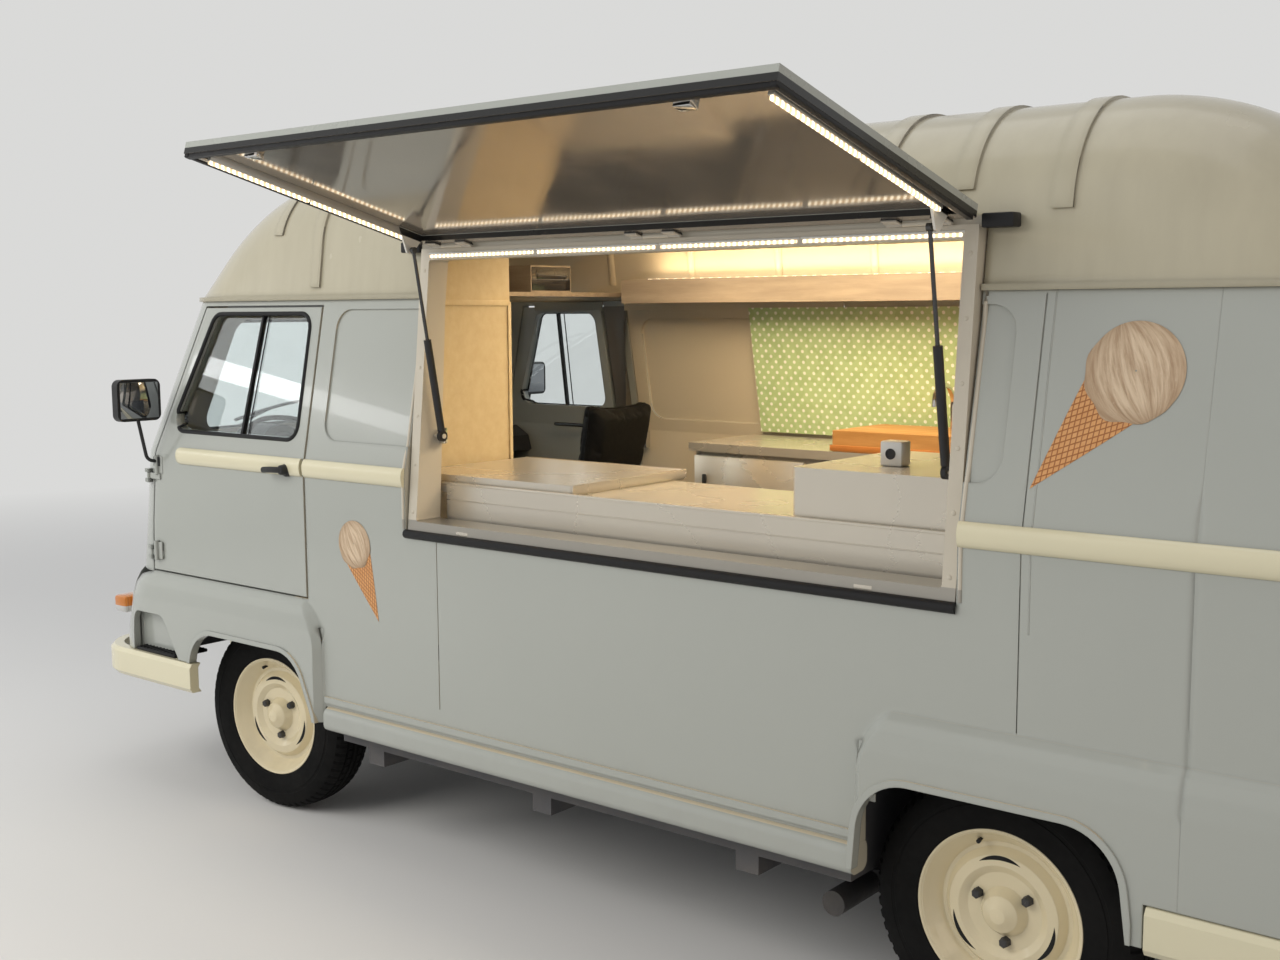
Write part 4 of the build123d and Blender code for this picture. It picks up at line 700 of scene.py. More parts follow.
TREAD_PITCHES, TREAD_STEPS = 64, 6
SIDEWALL = ((0.795, 0.1995), (0.7985, 0.2035), (0.7985, 0.2100), (0.8005, 0.2160), (0.8025, 0.2380),
            (0.8028, 0.2560), (0.8012, 0.2575), (0.8008, 0.2655), (0.8020, 0.2670), (0.7990, 0.2850),
            (0.7925, 0.3010), (0.7880, 0.3070), (0.7830, 0.3115))
TREAD = ((0.7790, 0.3150), (0.7600, 0.3195), (0.7590, 0.3130), (0.7530, 0.3130), (0.7520, 0.3205),
         (0.7350, 0.3217), (0.7340, 0.3145), (0.7275, 0.3145), (0.7265, 0.3219), (0.7205, 0.3219))
TYRE_MIDDLE = 0.720
EDGE_CUT, BLOCK_CUT = 0.006, 0.004
NUT_RING_R = 0.070
NUT_ANGLE = 95.0
NUT = ((0.752, 0.015), (0.764, 0.0125), (0.776, 0.0115), (0.779, 0.008), (0.779, 0.0005))
RIM_BEAD = ((0.0, 0.1995), (0.0025, 0.199), (0.0030, 0.1965), (0.0015, 0.193), (-0.003, 0.191), (-0.004, 0.1995),
            (0.0, 0.1995))
RIM_FACE = 0.7935
VALVE_ANGLE = radians(20.0)
VALVE = ((0.0, 0.0046), (0.022, 0.0042), (0.0225, 0.0052), (0.031, 0.0052), (0.032, 0.0005))
SLOT_ANGLE, SLOT_HALF_ANGLE, SLOT_R = 155.0, 24.0, 0.122


def tyre(wheel, pivot, outward, forward):
    """Road tyre with ribbed sidewalls, four grooves and cut shoulder blocks."""
    half = SIDEWALL + TREAD
    profile = half + tuple((2 * TYRE_MIDDLE - far, radius) for far, radius in reversed(half))
    count, turns = len(profile), TREAD_PITCHES * TREAD_STEPS
    verts = []
    edge_first, block_first = len(SIDEWALL) - 2, len(SIDEWALL) + 4
    for i in range(turns):
        ray = turned_ray(outward, forward, 2 * pi * i / turns)
        for k, (far, radius) in enumerate(profile):
            row = min(k, count - 1 - k)
            if i % TREAD_STEPS in (0, 1) and edge_first <= row <= edge_first + 2:
                radius -= EDGE_CUT
            if i % TREAD_STEPS == 3 and block_first <= row <= block_first + 1:
                radius -= BLOCK_CUT
            verts.append(pivot + outward * (far - KINGPIN_Y) + ray * radius)
    piece(wheel + "_road_tyre", (verts, bands(turns, count, True, True)), "tyre", wheel + "_wheel", smooth=28.0,
          stands_for=(wheel + "_tyre",))


def wheel_trim(wheel, side, pivot, outward, forward):
    """Wheel nuts, the rim's rolled edge and the valve."""
    body = wheel + "_wheel"
    centre_line = pivot - outward * KINGPIN_Y
    nuts = []
    for k in range(3):
        ray = turned_ray(outward, forward, radians(NUT_ANGLE + 120.0 * k))
        nuts.append(lathe(NUT, centre_line + ray * NUT_RING_R, outward, ray, 6))
    piece(body + "_nuts", joined(*nuts), "iron", body, smooth=20.0)
    edge = lathe([(RIM_FACE + far, r) for far, r in RIM_BEAD], centre_line, outward, forward, 96)
    piece(body + "_edge", edge, "rim", body, smooth=60.0)
    down = outward.cross(forward) * -side
    ray = (down * cos(VALVE_ANGLE) + forward * sin(VALVE_ANGLE)).normalized()
    root = centre_line + outward * 0.752 + ray * 0.172
    piece(body + "_valve", lathe(VALVE, root, outward - ray * 0.15, forward, 12), "rubber", body)


def painted_slot_shade(wheel, pivot, outward, forward):
    """Crescent slots round the wheel disc, laid as near-black film on it: painted shade of the openings."""
    rim = skin_of(wheel + "_rim")
    angles = spaced(-SLOT_HALF_ANGLE, SLOT_HALF_ANGLE, 3.0)
    shapes = []
    for k in range(3):
        line = []
        for a in angles:
            far = SLOT_R + 0.004 * cos(radians(a * 3.2))
            start = pivot + outward * 0.30 + turned_ray(outward, forward, radians(SLOT_ANGLE + 120.0 * k + a)) * far
            line.append(rim.ray_cast(start, -outward)[0] or start - outward * 0.205)
        verts, faces = sweep(line, [outward] * len(line), flat(0.0052, -0.0010, 0.0007))
        for i, a in enumerate(angles):
            size = max(0.06, 1.0 - (abs(a) / SLOT_HALF_ANGLE) ** 2.2)
            for c in range(4):
                verts[4 * i + c] = line[i].lerp(verts[4 * i + c], size)
        shapes.append((verts, faces))
    piece(wheel + "_painted_slot_shade", joined(*shapes), "dark", wheel + "_wheel", smooth=80.0)


for hand, side in (("left", 1), ("right", -1)):
    for end, hub_x in (("front", 0.0), ("rear", -WHEELBASE)):
        turn = Matrix.Rotation(radians(STEER_AT_REST if end == "front" else 0.0), 3, "Z")
        place = (at(hub_x, side * KINGPIN_Y, HUB_Z), turn @ Vector((0, side, 0)), turn @ FORWARDS)
        tyre(end + "_" + hand, *place)
        wheel_trim(end + "_" + hand, side, *place)
        painted_slot_shade(end + "_" + hand, *place)


# Cab doors

DOOR_GASKET = oval(0.0070, 0.0055)
SCREEN_GASKET = oval(0.013, 0.008)
SCREEN_CORNER = 0.068
HANDLE_BOSS = ((-0.004, 0.0005), (-0.004, 0.0235), (0.006, 0.0225), (0.010, 0.017), (0.026, 0.0150), (0.030, 0.011),
               (0.031, 0.0005))

for hand, side, rear_x, lean in (("driver", 1, DOOR_REAR_X, ((-0.003, 1.286), (-0.041, 1.676))),
                                 ("passenger", -1, RIGHT_DOOR_REAR_X, ((0.120, 1.286), (0.100, 1.676)))):
    door = hand + "_door"
    panel, pane = skin_of(door), skin_of(door + "_glass")
    rear = rear_x + 0.049
    window = rounded([(rear, 1.282), (0.3865, 1.282), (0.2075, 1.678), (rear, 1.678)], 0.050)
    piece(door + "_window_rubber", sweep(*side_line(panel, side, window), DOOR_GASKET, closed=True), "rubber", door)
    rails = [sweep(*side_line(pane, side, [(x - shift, z) for x, z in lean]), flat(*sizes))
             for shift, sizes in ((0.0, (0.0050, -0.012, 0.006)), (0.030, (0.0020, -0.001, 0.002)))]
    piece(door + "_pane_rails", joined(*rails), "rubber", door)
    # Lever handle on its round boss
    hx = rear_x + 0.078
    boss = lathe(HANDLE_BOSS, at(hx, side * 0.903, 1.190), Vector((0, side, 0)), UP, 28)
    lever = tube([(hx + back, side * y, z) for back, y, z in ((0.0, 0.926, 1.190), (0.020, 0.931, 1.190),
                                                             (0.050, 0.932, 1.189), (0.086, 0.929, 1.186))],
                 0.0098, step=0.004)
    piece(door + "_handle", joined(boss, lever), "plastic", door)
    # Hinge barrels at the front edge
    hinges = []
    for front_x, z in ((0.462, 0.86), (0.448, 1.16)):
        x, y, _ = side_line(panel, side, [(front_x, z)])[0][0] - SHIFT
        y = abs(y) + 0.004
        hinges.append(tube([(x, side * y, z - 0.034), (x, side * y, z + 0.034)], 0.0090))
        hinges.append(boxes((x - 0.030, x - 0.004, side * (y - 0.006), side * (y - 0.001), z - 0.030, z + 0.030),
                            bevel=0.001))
    piece(door + "_hinges", joined(*hinges), "body", door)
    # Inside pull, seen through the glass
    inner = [(rear_x + back, side * y, z) for back, y, z in ((0.12, 0.835, 1.205), (0.14, 0.815, 1.207),
                                                            (0.30, 0.815, 1.207), (0.32, 0.835, 1.205))]
    piece(door + "_pull", tube(inner, 0.008), "plastic", door)


# Cream belt mouldings

MOULDING = oval(0.029, 0.013, 8)
ROUNDED_END = ((0.0, 0.30), (0.003, 0.62), (0.009, 0.86), (0.018, 0.97), (0.030, 1.0))
SQUARE_END = ((0.0, 1.0),)


def moulding(name, body, side, start_x, end_x, *skins):
    """Moulding along one side between two places; on a door its front end is rounded."""
    ends = ROUNDED_END if body != "van" else SQUARE_END
    xs = [start_x - back for back, size in ends] + spaced(start_x - ends[-1][0], end_x, 0.06)[1:]
    points, outs = side_line(skin_of(*skins), side, [(x, MOULDING_Z) for x in xs])
    verts, faces = sweep(points, outs, MOULDING)
    wide = len(MOULDING)
    for i, (back, size) in enumerate(ends):
        for k in range(wide):
            verts[i * wide + k] = points[i].lerp(verts[i * wide + k], size)
    piece(name, (verts, faces), "cream", body, smooth=50.0)


moulding("driver_door_moulding", "driver_door", 1, 0.332, DOOR_REAR_X + 0.006, "driver_door")
moulding("left_front_moulding", "van", 1, DOOR_REAR_X - 0.008, -0.818, "left_side")
moulding("left_rear_moulding", "van", 1, -2.588, REAR_SEAM_X - 0.16, "left_side", "rear_frame")
moulding("passenger_door_moulding", "passenger_door", -1, 0.332, RIGHT_DOOR_REAR_X + 0.006, "passenger_door")
moulding("load_door_moulding", "van", -1, -0.300, -1.282, "load_door")
moulding("right_rear_moulding", "van", -1, -1.300, REAR_SEAM_X - 0.16, "right_side", "rear_frame")

# Panel joints on the skin, as thin lines of seam sealer
left_skin = skin_of("left_side", "rear_frame")
right_skin = skin_of("right_side", "rear_frame")
SEAMS = ((1, -2.752, 1.000, 1.172), (1, -2.752, 1.228, 1.720), (-1, -2.300, 0.420, 1.130),
         (-1, -1.330, 1.230, 1.720), (-1, -2.300, 1.230, 1.720))
seams = [sweep(*side_line(left_skin if side > 0 else right_skin, side, [(x, z) for z in spaced(low, high, 0.05)]),
               oval(0.0022, 0.0006, 3, -0.001)) for side, x, low, high in SEAMS]
piece("panel_seams", joined(*seams), "body", smooth=80.0)


# Serving hatch: seals, light strips, latches and the lid's rubber edges

HATCH_ENDS = ((HATCH_X[1], 1), (HATCH_X[0], -1))
LID_ENDS = ((HATCH_X[0], 1), (HATCH_X[1], -1))
LATCH_X = (-1.05, -2.35)

seal = sweep([at(x + k * 0.004, 0.900, 1.036) for x, k in HATCH_ENDS], [Vector((0, 1, 0.35))] * 2, oval(0.013, 0.014))
piece("hatch_bottom_seal", seal, "rubber")
side_seals = [sweep(*side_line(left_skin, 1, [(x + k * 0.003 + k * 0.010, z) for z in spaced(1.05, 1.845, 0.05)]),
                    oval(0.005, 0.004, 4)) for x, k in HATCH_ENDS]
piece("hatch_side_seals", joined(*side_seals), "frame")

rims = [(HATCH_X[0] + 0.004, HATCH_X[1] - 0.004, LID_LENGTH - 0.018, LID_LENGTH - 0.003, -0.006, 0.006)]
rims += [(x + k * 0.016 * 0.05, x + k * 0.016, 0.020, LID_LENGTH - 0.002, -0.004, 0.005) for x, k in LID_ENDS]
piece("lid_rubber_edge", lid_boxes(*rims), "rubber", "hatch_lid")
flanges = [(HATCH_X[0] + 0.018, HATCH_X[1] - 0.018, LID_LENGTH - 0.030, LID_LENGTH - 0.019, 0.001, 0.0195)]
flanges += [(x + k * 0.0165, x + k * 0.0205, 0.045, LID_LENGTH - 0.030, 0.000, 0.0195) for x, k in LID_ENDS]
piece("lid_inner_flanges", lid_boxes(*flanges), "aluminium", "hatch_lid")

strips, holders = [], []
for x, k in LID_ENDS:
    a = x + k * 0.0360
    strips += [(a, a + k * 0.010, low, high, -0.0095, -0.0015)
               for low, high in ((0.100, 0.430), (0.440, LID_LENGTH - 0.047))]
    holders.append((a - k * 0.001, a + k * 0.013, 0.095, LID_LENGTH - 0.045, -0.0012, 0.0200))
piece("lid_light_strips", lid_boxes(*strips, bevel=0.002), "led", "hatch_lid")
piece("lid_light_holders", lid_boxes(*holders), "aluminium", "hatch_lid")
parts = spaced(HATCH_X[0] + 0.030, HATCH_X[1] - 0.030, 0.43)
pairs = list(zip(parts, parts[1:]))
strips = [(low + 0.008, high - 0.008, 0.812, 0.822, 1.836, 1.844) for low, high in pairs]
holders = [(low + 0.002, high - 0.002, 0.806, 0.820, 1.8445, 1.851) for low, high in pairs]
piece("header_light_strip", boxes(*strips), "led")
piece("header_light_holders", boxes(*holders), "aluminium")
piece("pelmet_light_strip", boxes((-2.66, -0.44, -0.728, -0.712, 1.8005, 1.8035)), "glow")

latches = [(x - 0.020, x + 0.020, LID_LENGTH - 0.060, LID_LENGTH - 0.032, -0.008, 0.019) for x in LATCH_X]
piece("lid_latches", lid_boxes(*latches), "chrome", "hatch_lid")
keeps = [(x - 0.024, x + 0.024, 0.882, 0.896, 1.047, 1.060) for x in LATCH_X]
piece("lid_latch_keeps", boxes(*keeps), "stainless")
piece("hinge_end_block", boxes((-2.662, -2.588, 0.784, 0.826, 1.853, 1.884),
                               (-0.822, -0.742, 0.784, 0.824, 1.853, 1.884), bevel=0.004), "rubber")
feet = [(x - 0.016, x + 0.016, 0.784, 0.797, 1.296, 1.344) for x in (-0.868, -2.532)]
piece("strut_feet", boxes(*feet, bevel=0.003), "chrome")

# Screws along the hatch frame
SCREW = ((-0.001, 0.0058), (0.0012, 0.0052), (0.0022, 0.0030), (0.0024, 0.0002))
frame_skin = skin_of("hatch_frame")
places = [(x, z) for x in (HATCH_X[1] - 0.017, HATCH_X[0] + 0.017) for z in spaced(1.10, 1.80, 0.14)]
screws = [lathe(SCREW, place, out, FORWARDS, 10) for place, out in zip(*side_line(frame_skin, 1, places))]
piece("frame_screws", joined(*screws), "frame")


# Glazing of the front and the back

def screen_rubber(name, body, node, end, outline):
    """Rubber round a window of the front or the back."""
    line = end_line(skin_of(node), end, rounded(outline, SCREEN_CORNER))
    piece(name, sweep(*line, SCREEN_GASKET, closed=True), "rubber", body)


screen_rubber("windscreen_rubber", "van", "nose", 1,
              [(-0.604, 1.246), (0.604, 1.246), (0.539, 1.659), (-0.539, 1.659)])
screen_rubber("tailgate_window_rubber", "tailgate", "tailgate", -1,
              [(-0.524, 1.256), (0.524, 1.256), (0.524, 1.594), (-0.524, 1.594)])


# Interior: the counters, the wall and the fittings

piece("serving_top_edge", boxes((-2.545, -0.700, 0.7662, 0.7808, 1.1725, 1.1805)), "stainless")
piece("apron_crease", boxes((-2.543, -0.872, 0.7795, 0.7825, 1.128, 1.1305)), "stainless")
spans = [(-2.86, -2.38), (-2.36, -1.88), (-1.86, -1.38), (-1.36, -0.88)]
piece("cupboard_doors", boxes(*((low + 0.012, high - 0.004, -0.4385, -0.4225, 0.46, 1.165) for low, high in spans)),
      "stainless")
piece("cupboard_pulls", boxes(*((high - 0.060, high - 0.046, -0.4215, -0.4090, 0.95, 1.10) for low, high in spans),
                              bevel=0.004), "plastic")
piece("board_edge", boxes((-2.052, -1.448, -0.4295, -0.4245, 1.212, 1.232)), "orange_wood")

# Swan-neck tap, wall switch, socket box and radio
tap = tube([(-1.75, -0.72, 1.209), (-1.75, -0.72, 1.34), (-1.75, -0.71, 1.395), (-1.75, -0.66, 1.430),
            (-1.75, -0.60, 1.410), (-1.75, -0.585, 1.36)], 0.0095, step=0.008)
tap_base = lathe([(0.0, 0.0005), (0.0, 0.026), (0.012, 0.024), (0.018, 0.014), (0.045, 0.013)],
                 at(-1.75, -0.72, 1.2085), UP, FORWARDS, 24)
piece("sink_tap", joined(tap, tap_base), "chrome")
piece("wall_switch", boxes((-0.73, -0.66, -0.7415, -0.7310, 1.000, 1.085), bevel=0.004), "white")
piece("switch_rocker", boxes((-0.710, -0.680, -0.7310, -0.7265, 1.020, 1.065)), "white")
piece("socket_box", boxes((-2.292, -2.232, 0.570, 0.618, 1.3005, 1.362), bevel=0.005), "aluminium")
ring = [(0.0, 0.0005), (0.0, 0.0135), (0.0022, 0.0135), (0.0022, 0.0105), (0.0006, 0.0105), (0.0006, 0.0004)]
piece("socket_rings", lathe(ring, at(-2.262, 0.6182, 1.331), LEFTWARDS, UP, 24), "plastic")
piece("radio_front", boxes((-0.302, -0.298, -0.415, -0.205, 1.758, 1.845),
                           (-0.3045, -0.300, -0.39, -0.23, 1.80, 1.835)), "dial")
piece("worktop_edge", boxes((-1.3525, -1.3485, 0.24, 0.76, 1.176, 1.202),
                            (-1.35, -0.68, 0.2385, 0.2425, 1.176, 1.202)), "stainless")
piece("partition_rail", boxes((-0.6655, -0.6592, 0.290, 0.775, 1.700, 1.718),
                              (-0.6655, -0.6592, 0.283, 0.297, 0.46, 1.712), bevel=0.0015), "panel")

# Ribs under the roof lining
lining_skin = skin_of("roof")
ribs = []
for x in spaced(-2.62, -0.22, 0.40):
    rays = [Vector((0, sin(radians(a)), cos(radians(a)))) for a in spaced(-78.0, 78.0, 6.0)]
    hits = [(lining_skin.ray_cast(at(x, 0, 1.62), ray)[0], -ray) for ray in rays]
    places, ways = zip(*(hit for hit in hits if hit[0]))
    ribs.append(sweep(places, ways, oval(0.016, 0.010, 6)))
piece("roof_lining_ribs", joined(*ribs), "lining", smooth=60.0)

# Dark post between the cab window and the sliding door, and the door's latch blocks and handle
wall = skin_of("right_side")
verts = []
for z in spaced(1.20, 1.70, 0.05):
    for x in (-0.287, -0.255, -0.213, -0.172):
        place = wall.ray_cast(at(x, -0.30, z), -LEFTWARDS)[0]
        verts.append(Vector((at(x, 0, 0).x, place.y + 0.004, place.z)) if place else at(x, -0.76, z))
piece("cab_post_trim", (verts, bands(len(verts) // 4, 4)), "dark_panel", smooth=60.0)
piece("load_door_latches", boxes((-1.268, -1.226, -0.846, -0.818, 1.150, 1.215),
                                 (-0.345, -0.310, -0.846, -0.818, 1.130, 1.200), bevel=0.004), "chrome")
handle = tube([(-1.232, -0.905, 1.100), (-1.232, -0.930, 1.100), (-1.220, -0.940, 1.100), (-1.150, -0.940, 1.098),
               (-1.120, -0.936, 1.096)], 0.0085, step=0.004)
plate = boxes((-1.262, -1.198, -0.905, -0.912, 1.084, 1.116), bevel=0.004)
piece("load_door_handle", joined(handle, plate), "plastic")


# Cab: dial, levers and pedals

DIAL_Y, DIAL_Z = 0.430, 1.160
KNOB = ((-0.022, 0.0005), (-0.018, 0.014), (0.0, 0.021), (0.018, 0.015), (0.023, 0.0005))

binnacle = lathe([(0.0, 0.0005), (0.0, 0.074), (0.004, 0.078), (0.006, 0.084), (-0.002, 0.088)],
                 at(0.3715, DIAL_Y, DIAL_Z), -FORWARDS, UP, 48)
piece("speed_dial_ring", binnacle, "dial")
marks = []
for k in range(13):
    a = radians(-130.0 + 260.0 * k / 12)
    y, z = DIAL_Y - 0.060 * sin(a), DIAL_Z + 0.060 * cos(a)
    marks.append((0.3665, 0.3668, y - 0.0022, y + 0.0022, z - 0.0022, z + 0.0022))
marks.append((0.3660, 0.3668, 0.426, 0.434, 1.150, 1.205))
piece("speed_dial_marks", boxes(*marks, bevel=0.0002), "white")
levers = [tube([(0.32, 0.43, 1.18), (0.31, middle, 1.20), (0.30, tip, 1.23 if tip < 0.43 else 1.22)], 0.006)
          for middle, tip in ((0.36, 0.28), (0.50, 0.57))]
piece("column_levers", joined(*levers), "plastic")
gear = tube([(0.24, 0.12, 0.735), (0.20, 0.12, 0.90), (0.13, 0.13, 1.02)], 0.007)
piece("gear_lever", joined(gear, lathe(KNOB, at(0.13, 0.13, 1.03), UP, FORWARDS, 20)), "plastic")
pads = [(0.37, 0.385, y - 0.030, y + 0.030, 0.815, 0.875) for y in (0.56, 0.44)]
pads.append((0.37, 0.385, 0.295, 0.335, 0.775, 0.875))
arms = [tube([(0.384, y, 0.845), (0.43, y, 0.93), (0.46, y, 1.085)], 0.006) for y in (0.56, 0.44, 0.315)]
piece("pedals", joined(boxes(*pads, bevel=0.003), *arms), "rubber")

# Board above the partition up to the roof lining
verts = []
for y in spaced(0.285, 0.775, 0.035):
    hit = lining_skin.ray_cast(at(-0.650, y, 1.55), UP)[0]
    if hit and hit.z > 1.73:
        verts += [at(x, y, z) for x, z in ((-0.660, 1.7125), (-0.660, hit.z - 0.002), (-0.644, hit.z - 0.002),
                                           (-0.644, 1.7125))]
faces = bands(len(verts) // 4, 4, closed_wide=True)
piece("partition_head", (verts, faces + [(0, 1, 2, 3), tuple(range(len(verts) - 4, len(verts)))]), "panel",
      smooth=20.0)

# Rubber strips that close the gaps over the doors, and webs that close the ends of the wings
strips = []
for side, low, high in ((1, DOOR_REAR_X - 0.004, 0.205), (-1, RIGHT_DOOR_REAR_X - 0.004, 0.205),
                        (-1, -1.296, -0.284)):
    panel = skin_of("left_side" if side > 0 else "right_side")
    way = Vector((0, side, 0))
    hits = [panel.ray_cast(at(x, side * 0.30, 1.712), way)[0] for x in spaced(low, high, 0.08)]
    line = [Vector((hit.x, hit.y - side * 0.003, hit.z - 0.012)) for hit in hits if hit]
    strips.append(sweep(line, [-way] * len(line), flat(0.018, -0.002, 0.002)))
piece("door_top_seals", joined(*strips), "body")
webs = [(low, high, side * 0.8950, side * 0.8990, bottom, 0.712) for side in (1, -1)
        for low, high, bottom in ((-0.434, -0.378, 0.600), (-2.392, -2.336, 0.560))]
piece("wing_end_webs", boxes(*webs, bevel=0.0005), "body")


# Seats: cushions inflated by a cloth simulation, on plinths, with piping and sewn channels

SEAT_LEAN = radians(12.0)
SEAT_MARGIN = 0.012
MOST_SWELL = 0.022
CLOTH_FRAMES = 20
PAD_CORNER, PAD_MESH = 0.030, 0.007
PIPING_R = 0.0032
SEATS = (("driver", 0.275, 0.675), ("passenger", -0.650, -0.280))
LEAN_UP = Vector((-sin(SEAT_LEAN), 0, cos(SEAT_LEAN)))
LEAN_BACK = Vector((-cos(SEAT_LEAN), 0, -sin(SEAT_LEAN)))
CHANNELS = (-0.30, -0.18, -0.06, 0.06, 0.18, 0.30)


def cushion_frame(kind, low_y, high_y):
    """Middle, lengthwise and up directions, and size of a seat's cushion or back."""
    y, wide = (low_y + high_y) / 2, high_y - low_y
    if kind == "base":
        forward = Vector((cos(0.035), 0, sin(0.035)))
        return at(-0.118, y, 0.833), forward, forward.cross(LEFTWARDS), (0.490, wide, 0.084)
    middle = at(-0.350, y, 0.845) + LEAN_UP * 0.272 + LEAN_BACK * 0.045
    return middle, LEAN_UP, -LEAN_BACK, (0.500, wide, 0.078)


def applied(obj):
    """Works the object's modifiers into its mesh."""
    graph = bpy.context.evaluated_depsgraph_get()
    made = bpy.data.meshes.new_from_object(obj.evaluated_get(graph))
    obj.modifiers.clear()
    obj.data = made
    made.shade_smooth()


def cushion(name, middle, run, up, size):
    """A closed rounded pad, ready to be inflated."""
    matrix = Matrix((run, LEFTWARDS, up)).transposed().to_4x4()
    matrix = Matrix.Translation(middle) @ matrix @ Matrix.Diagonal((*(s - SEAT_MARGIN for s in size), 1.0))
    obj = piece(name, bevelled([matrix], PAD_CORNER), "vinyl", smooth=80.0, stands_for=("seats",))
    mesher = obj.modifiers.new("skin", "REMESH")
    mesher.mode = "VOXEL"
    mesher.voxel_size = PAD_MESH
    applied(obj)
    return obj


def swell(obj):
    """Gives a pad the cloth simulation that blows it up."""
    cloth = obj.modifiers.new("swell", "CLOTH")
    cloth.settings.quality = 4
    cloth.settings.mass = 0.3
    cloth.settings.use_pressure = True
    cloth.settings.uniform_pressure_force = 4.0
    cloth.settings.effector_weights.gravity = 0.0
    cloth.collision_settings.use_collision = False
    cloth.collision_settings.use_self_collision = False


def sewn(start, moved, middle, run, up, size):
    """Where a point of a blown up pad ends: held to the solid's space, with sewn channels and seam pulled in."""
    if moved.length > MOST_SWELL:
        moved = moved.normalized() * MOST_SWELL
    place = start + moved
    local = place - middle
    u, v, w = local.dot(run) / size[0], local.dot(LEFTWARDS) / size[1], local.dot(up)
    # Channels run lengthwise over the middle of the side that is sat on
    inner = max(0.0, 1.0 - (abs(u) / 0.40) ** 6) * max(0.0, 1.0 - (abs(v) / 0.38) ** 8)
    if w > 0.0 and inner > 0.0:
        groove = min(abs(v - line) * size[1] for line in CHANNELS)
        place -= up * (0.006 * inner * exp(-(groove / 0.007) ** 2))
    seam = exp(-(w / 0.009) ** 2) * (1.0 if max(abs(u), abs(v)) > 0.44 else 0.0)
    return place - (run * u * size[0] + LEFTWARDS * v * size[1]).normalized() * (0.003 * seam)


cushions = {}
for hand, low_y, high_y in SEATS:
    for kind in ("base", "back"):
        placed = cushion_frame(kind, low_y, high_y)
        cushions[hand + "_seat_" + kind] = (cushion(hand + "_seat_" + kind, *placed), placed)
starts = {name: [v.co.copy() for v in obj.data.vertices] for name, (obj, placed) in cushions.items()}
for obj, placed in cushions.values():
    swell(obj)
scene = bpy.context.scene
for step in range(1, CLOTH_FRAMES + 1):
    scene.frame_set(step)
for obj, placed in cushions.values():
    applied(obj)
scene.frame_set(1)
for name, (obj, placed) in cushions.items():
    for vert, start in zip(obj.data.vertices, starts[name]):
        vert.co = sewn(start, vert.co - start, *placed)
    fine = obj.modifiers.new("fine", "SUBSURF")
    fine.levels = fine.render_levels = 1
    applied(obj)
    obj.data.materials.clear()
    obj.data.materials.append(MATS["vinyl"])
    # Piping along the seam
    middle, run, up, size = placed
    found = skin(obj)
    a, b = size[0] / 2, size[1] / 2
    ring = rounded([(-a, -b), (a, -b), (a, b), (-a, b)], 0.045, 0.02)
    line = [found.find_nearest(middle + run * a + LEFTWARDS * b)[0] for a, b in ring]
    outs = [(p - middle - up * (p - middle).dot(up)).normalized() for p in line]
    piece(name + "_piping", sweep(line, outs, circle(PIPING_R, 8), closed=True), "vinyl", smooth=80.0)
plinths = [(-0.330, 0.090, low + 0.030, high - 0.030, 0.7302, 0.792) for name, low, high in SEATS]
brackets = [tube([(-0.30, y, 0.80), (-0.375, y, 0.84), (-0.415, y, 0.95)], 0.011)
            for name, low, high in SEATS for y in (low + 0.028, high - 0.028)]
piece("seat_plinths", joined(boxes(*plinths, bevel=0.006), *brackets), "iron",
      stands_for=("seats",))


# Ice cream cones on the skin: a generic design in thin film, raised by its own thickness

FILM = 0.0007


def film(name, rings, finish, layers=1):
    """Sheet through rings of (x, z) places, each laid on the left side."""
    verts = []
    for ring in rings:
        verts += [p + n * FILM * layers for p, n in zip(*side_line(left_skin, 1, ring))]
    piece(name, (verts, bands(len(rings), len(rings[0]))), finish, smooth=60.0)


def cone_film(name, top, left, right, tip, scoop_r, pitch, comb_lean):
    """A scoop in a waffle cone, given by the scoop's middle, the cone's top corners and its tip."""
    top, left, right, tip = (Vector(p) for p in (top, left, right, tip))
    axis = tip - (left + right) / 2
    lean = atan2(axis.x, -axis.y)
    MATS[name + "_waffle"] = waffle_mat(name + "_waffle_finish", lean, pitch)
    MATS[name + "_ice"] = scoop_mat(name + "_ice_cream_finish", top, scoop_r, comb_lean)
    rows = []
    for t in spaced(0.0, 1.0, 0.05):
        bend = 0.10 * sin(pi * t)
        a, b = left.lerp(tip, t), right.lerp(tip, t)
        middle = (a + b) / 2
        a, b = (p.lerp(p + (p - middle) * 0.2, bend) for p in (a, b))
        rows.append([a.lerp(b, s) for s in spaced(0.0, 1.0, 0.1)])
    film(name + "_cone", rows, name + "_waffle")
    down = axis.normalized()
    sideways = Vector((down.y, -down.x))
    rings = []
    for t in spaced(0.0, 1.0, 0.125):
        ring = []
        for k in range(65):
            a = 2 * pi * k / 64
            frill = 1.0 + (0.035 * sin(9 * a) + 0.02 * sin(5 * a + 1.0)) * max(0.0, cos(a)) * t
            low = 0.10 * max(0.0, cos(a)) * t
            far = scoop_r * max(t, 0.02) * frill * (1.0 + low)
            ring.append(top + down * (far * cos(a)) + sideways * (far * sin(a) * 1.02))
        rings.append(ring)
    film(name + "_scoop", rings, name + "_ice", 2)


cone_film("small_cone", (-0.587, 0.984), (-0.542, 0.930), (-0.659, 0.965), (-0.692, 0.755), 0.070, 68.0, 0.5)
cone_film("large_cone", (-2.936, 1.555), (-2.958, 1.462), (-2.838, 1.550), (-2.737, 1.306), 0.099, 62.0, 0.35)


# Front and back fittings

SIDES = (1, -1)

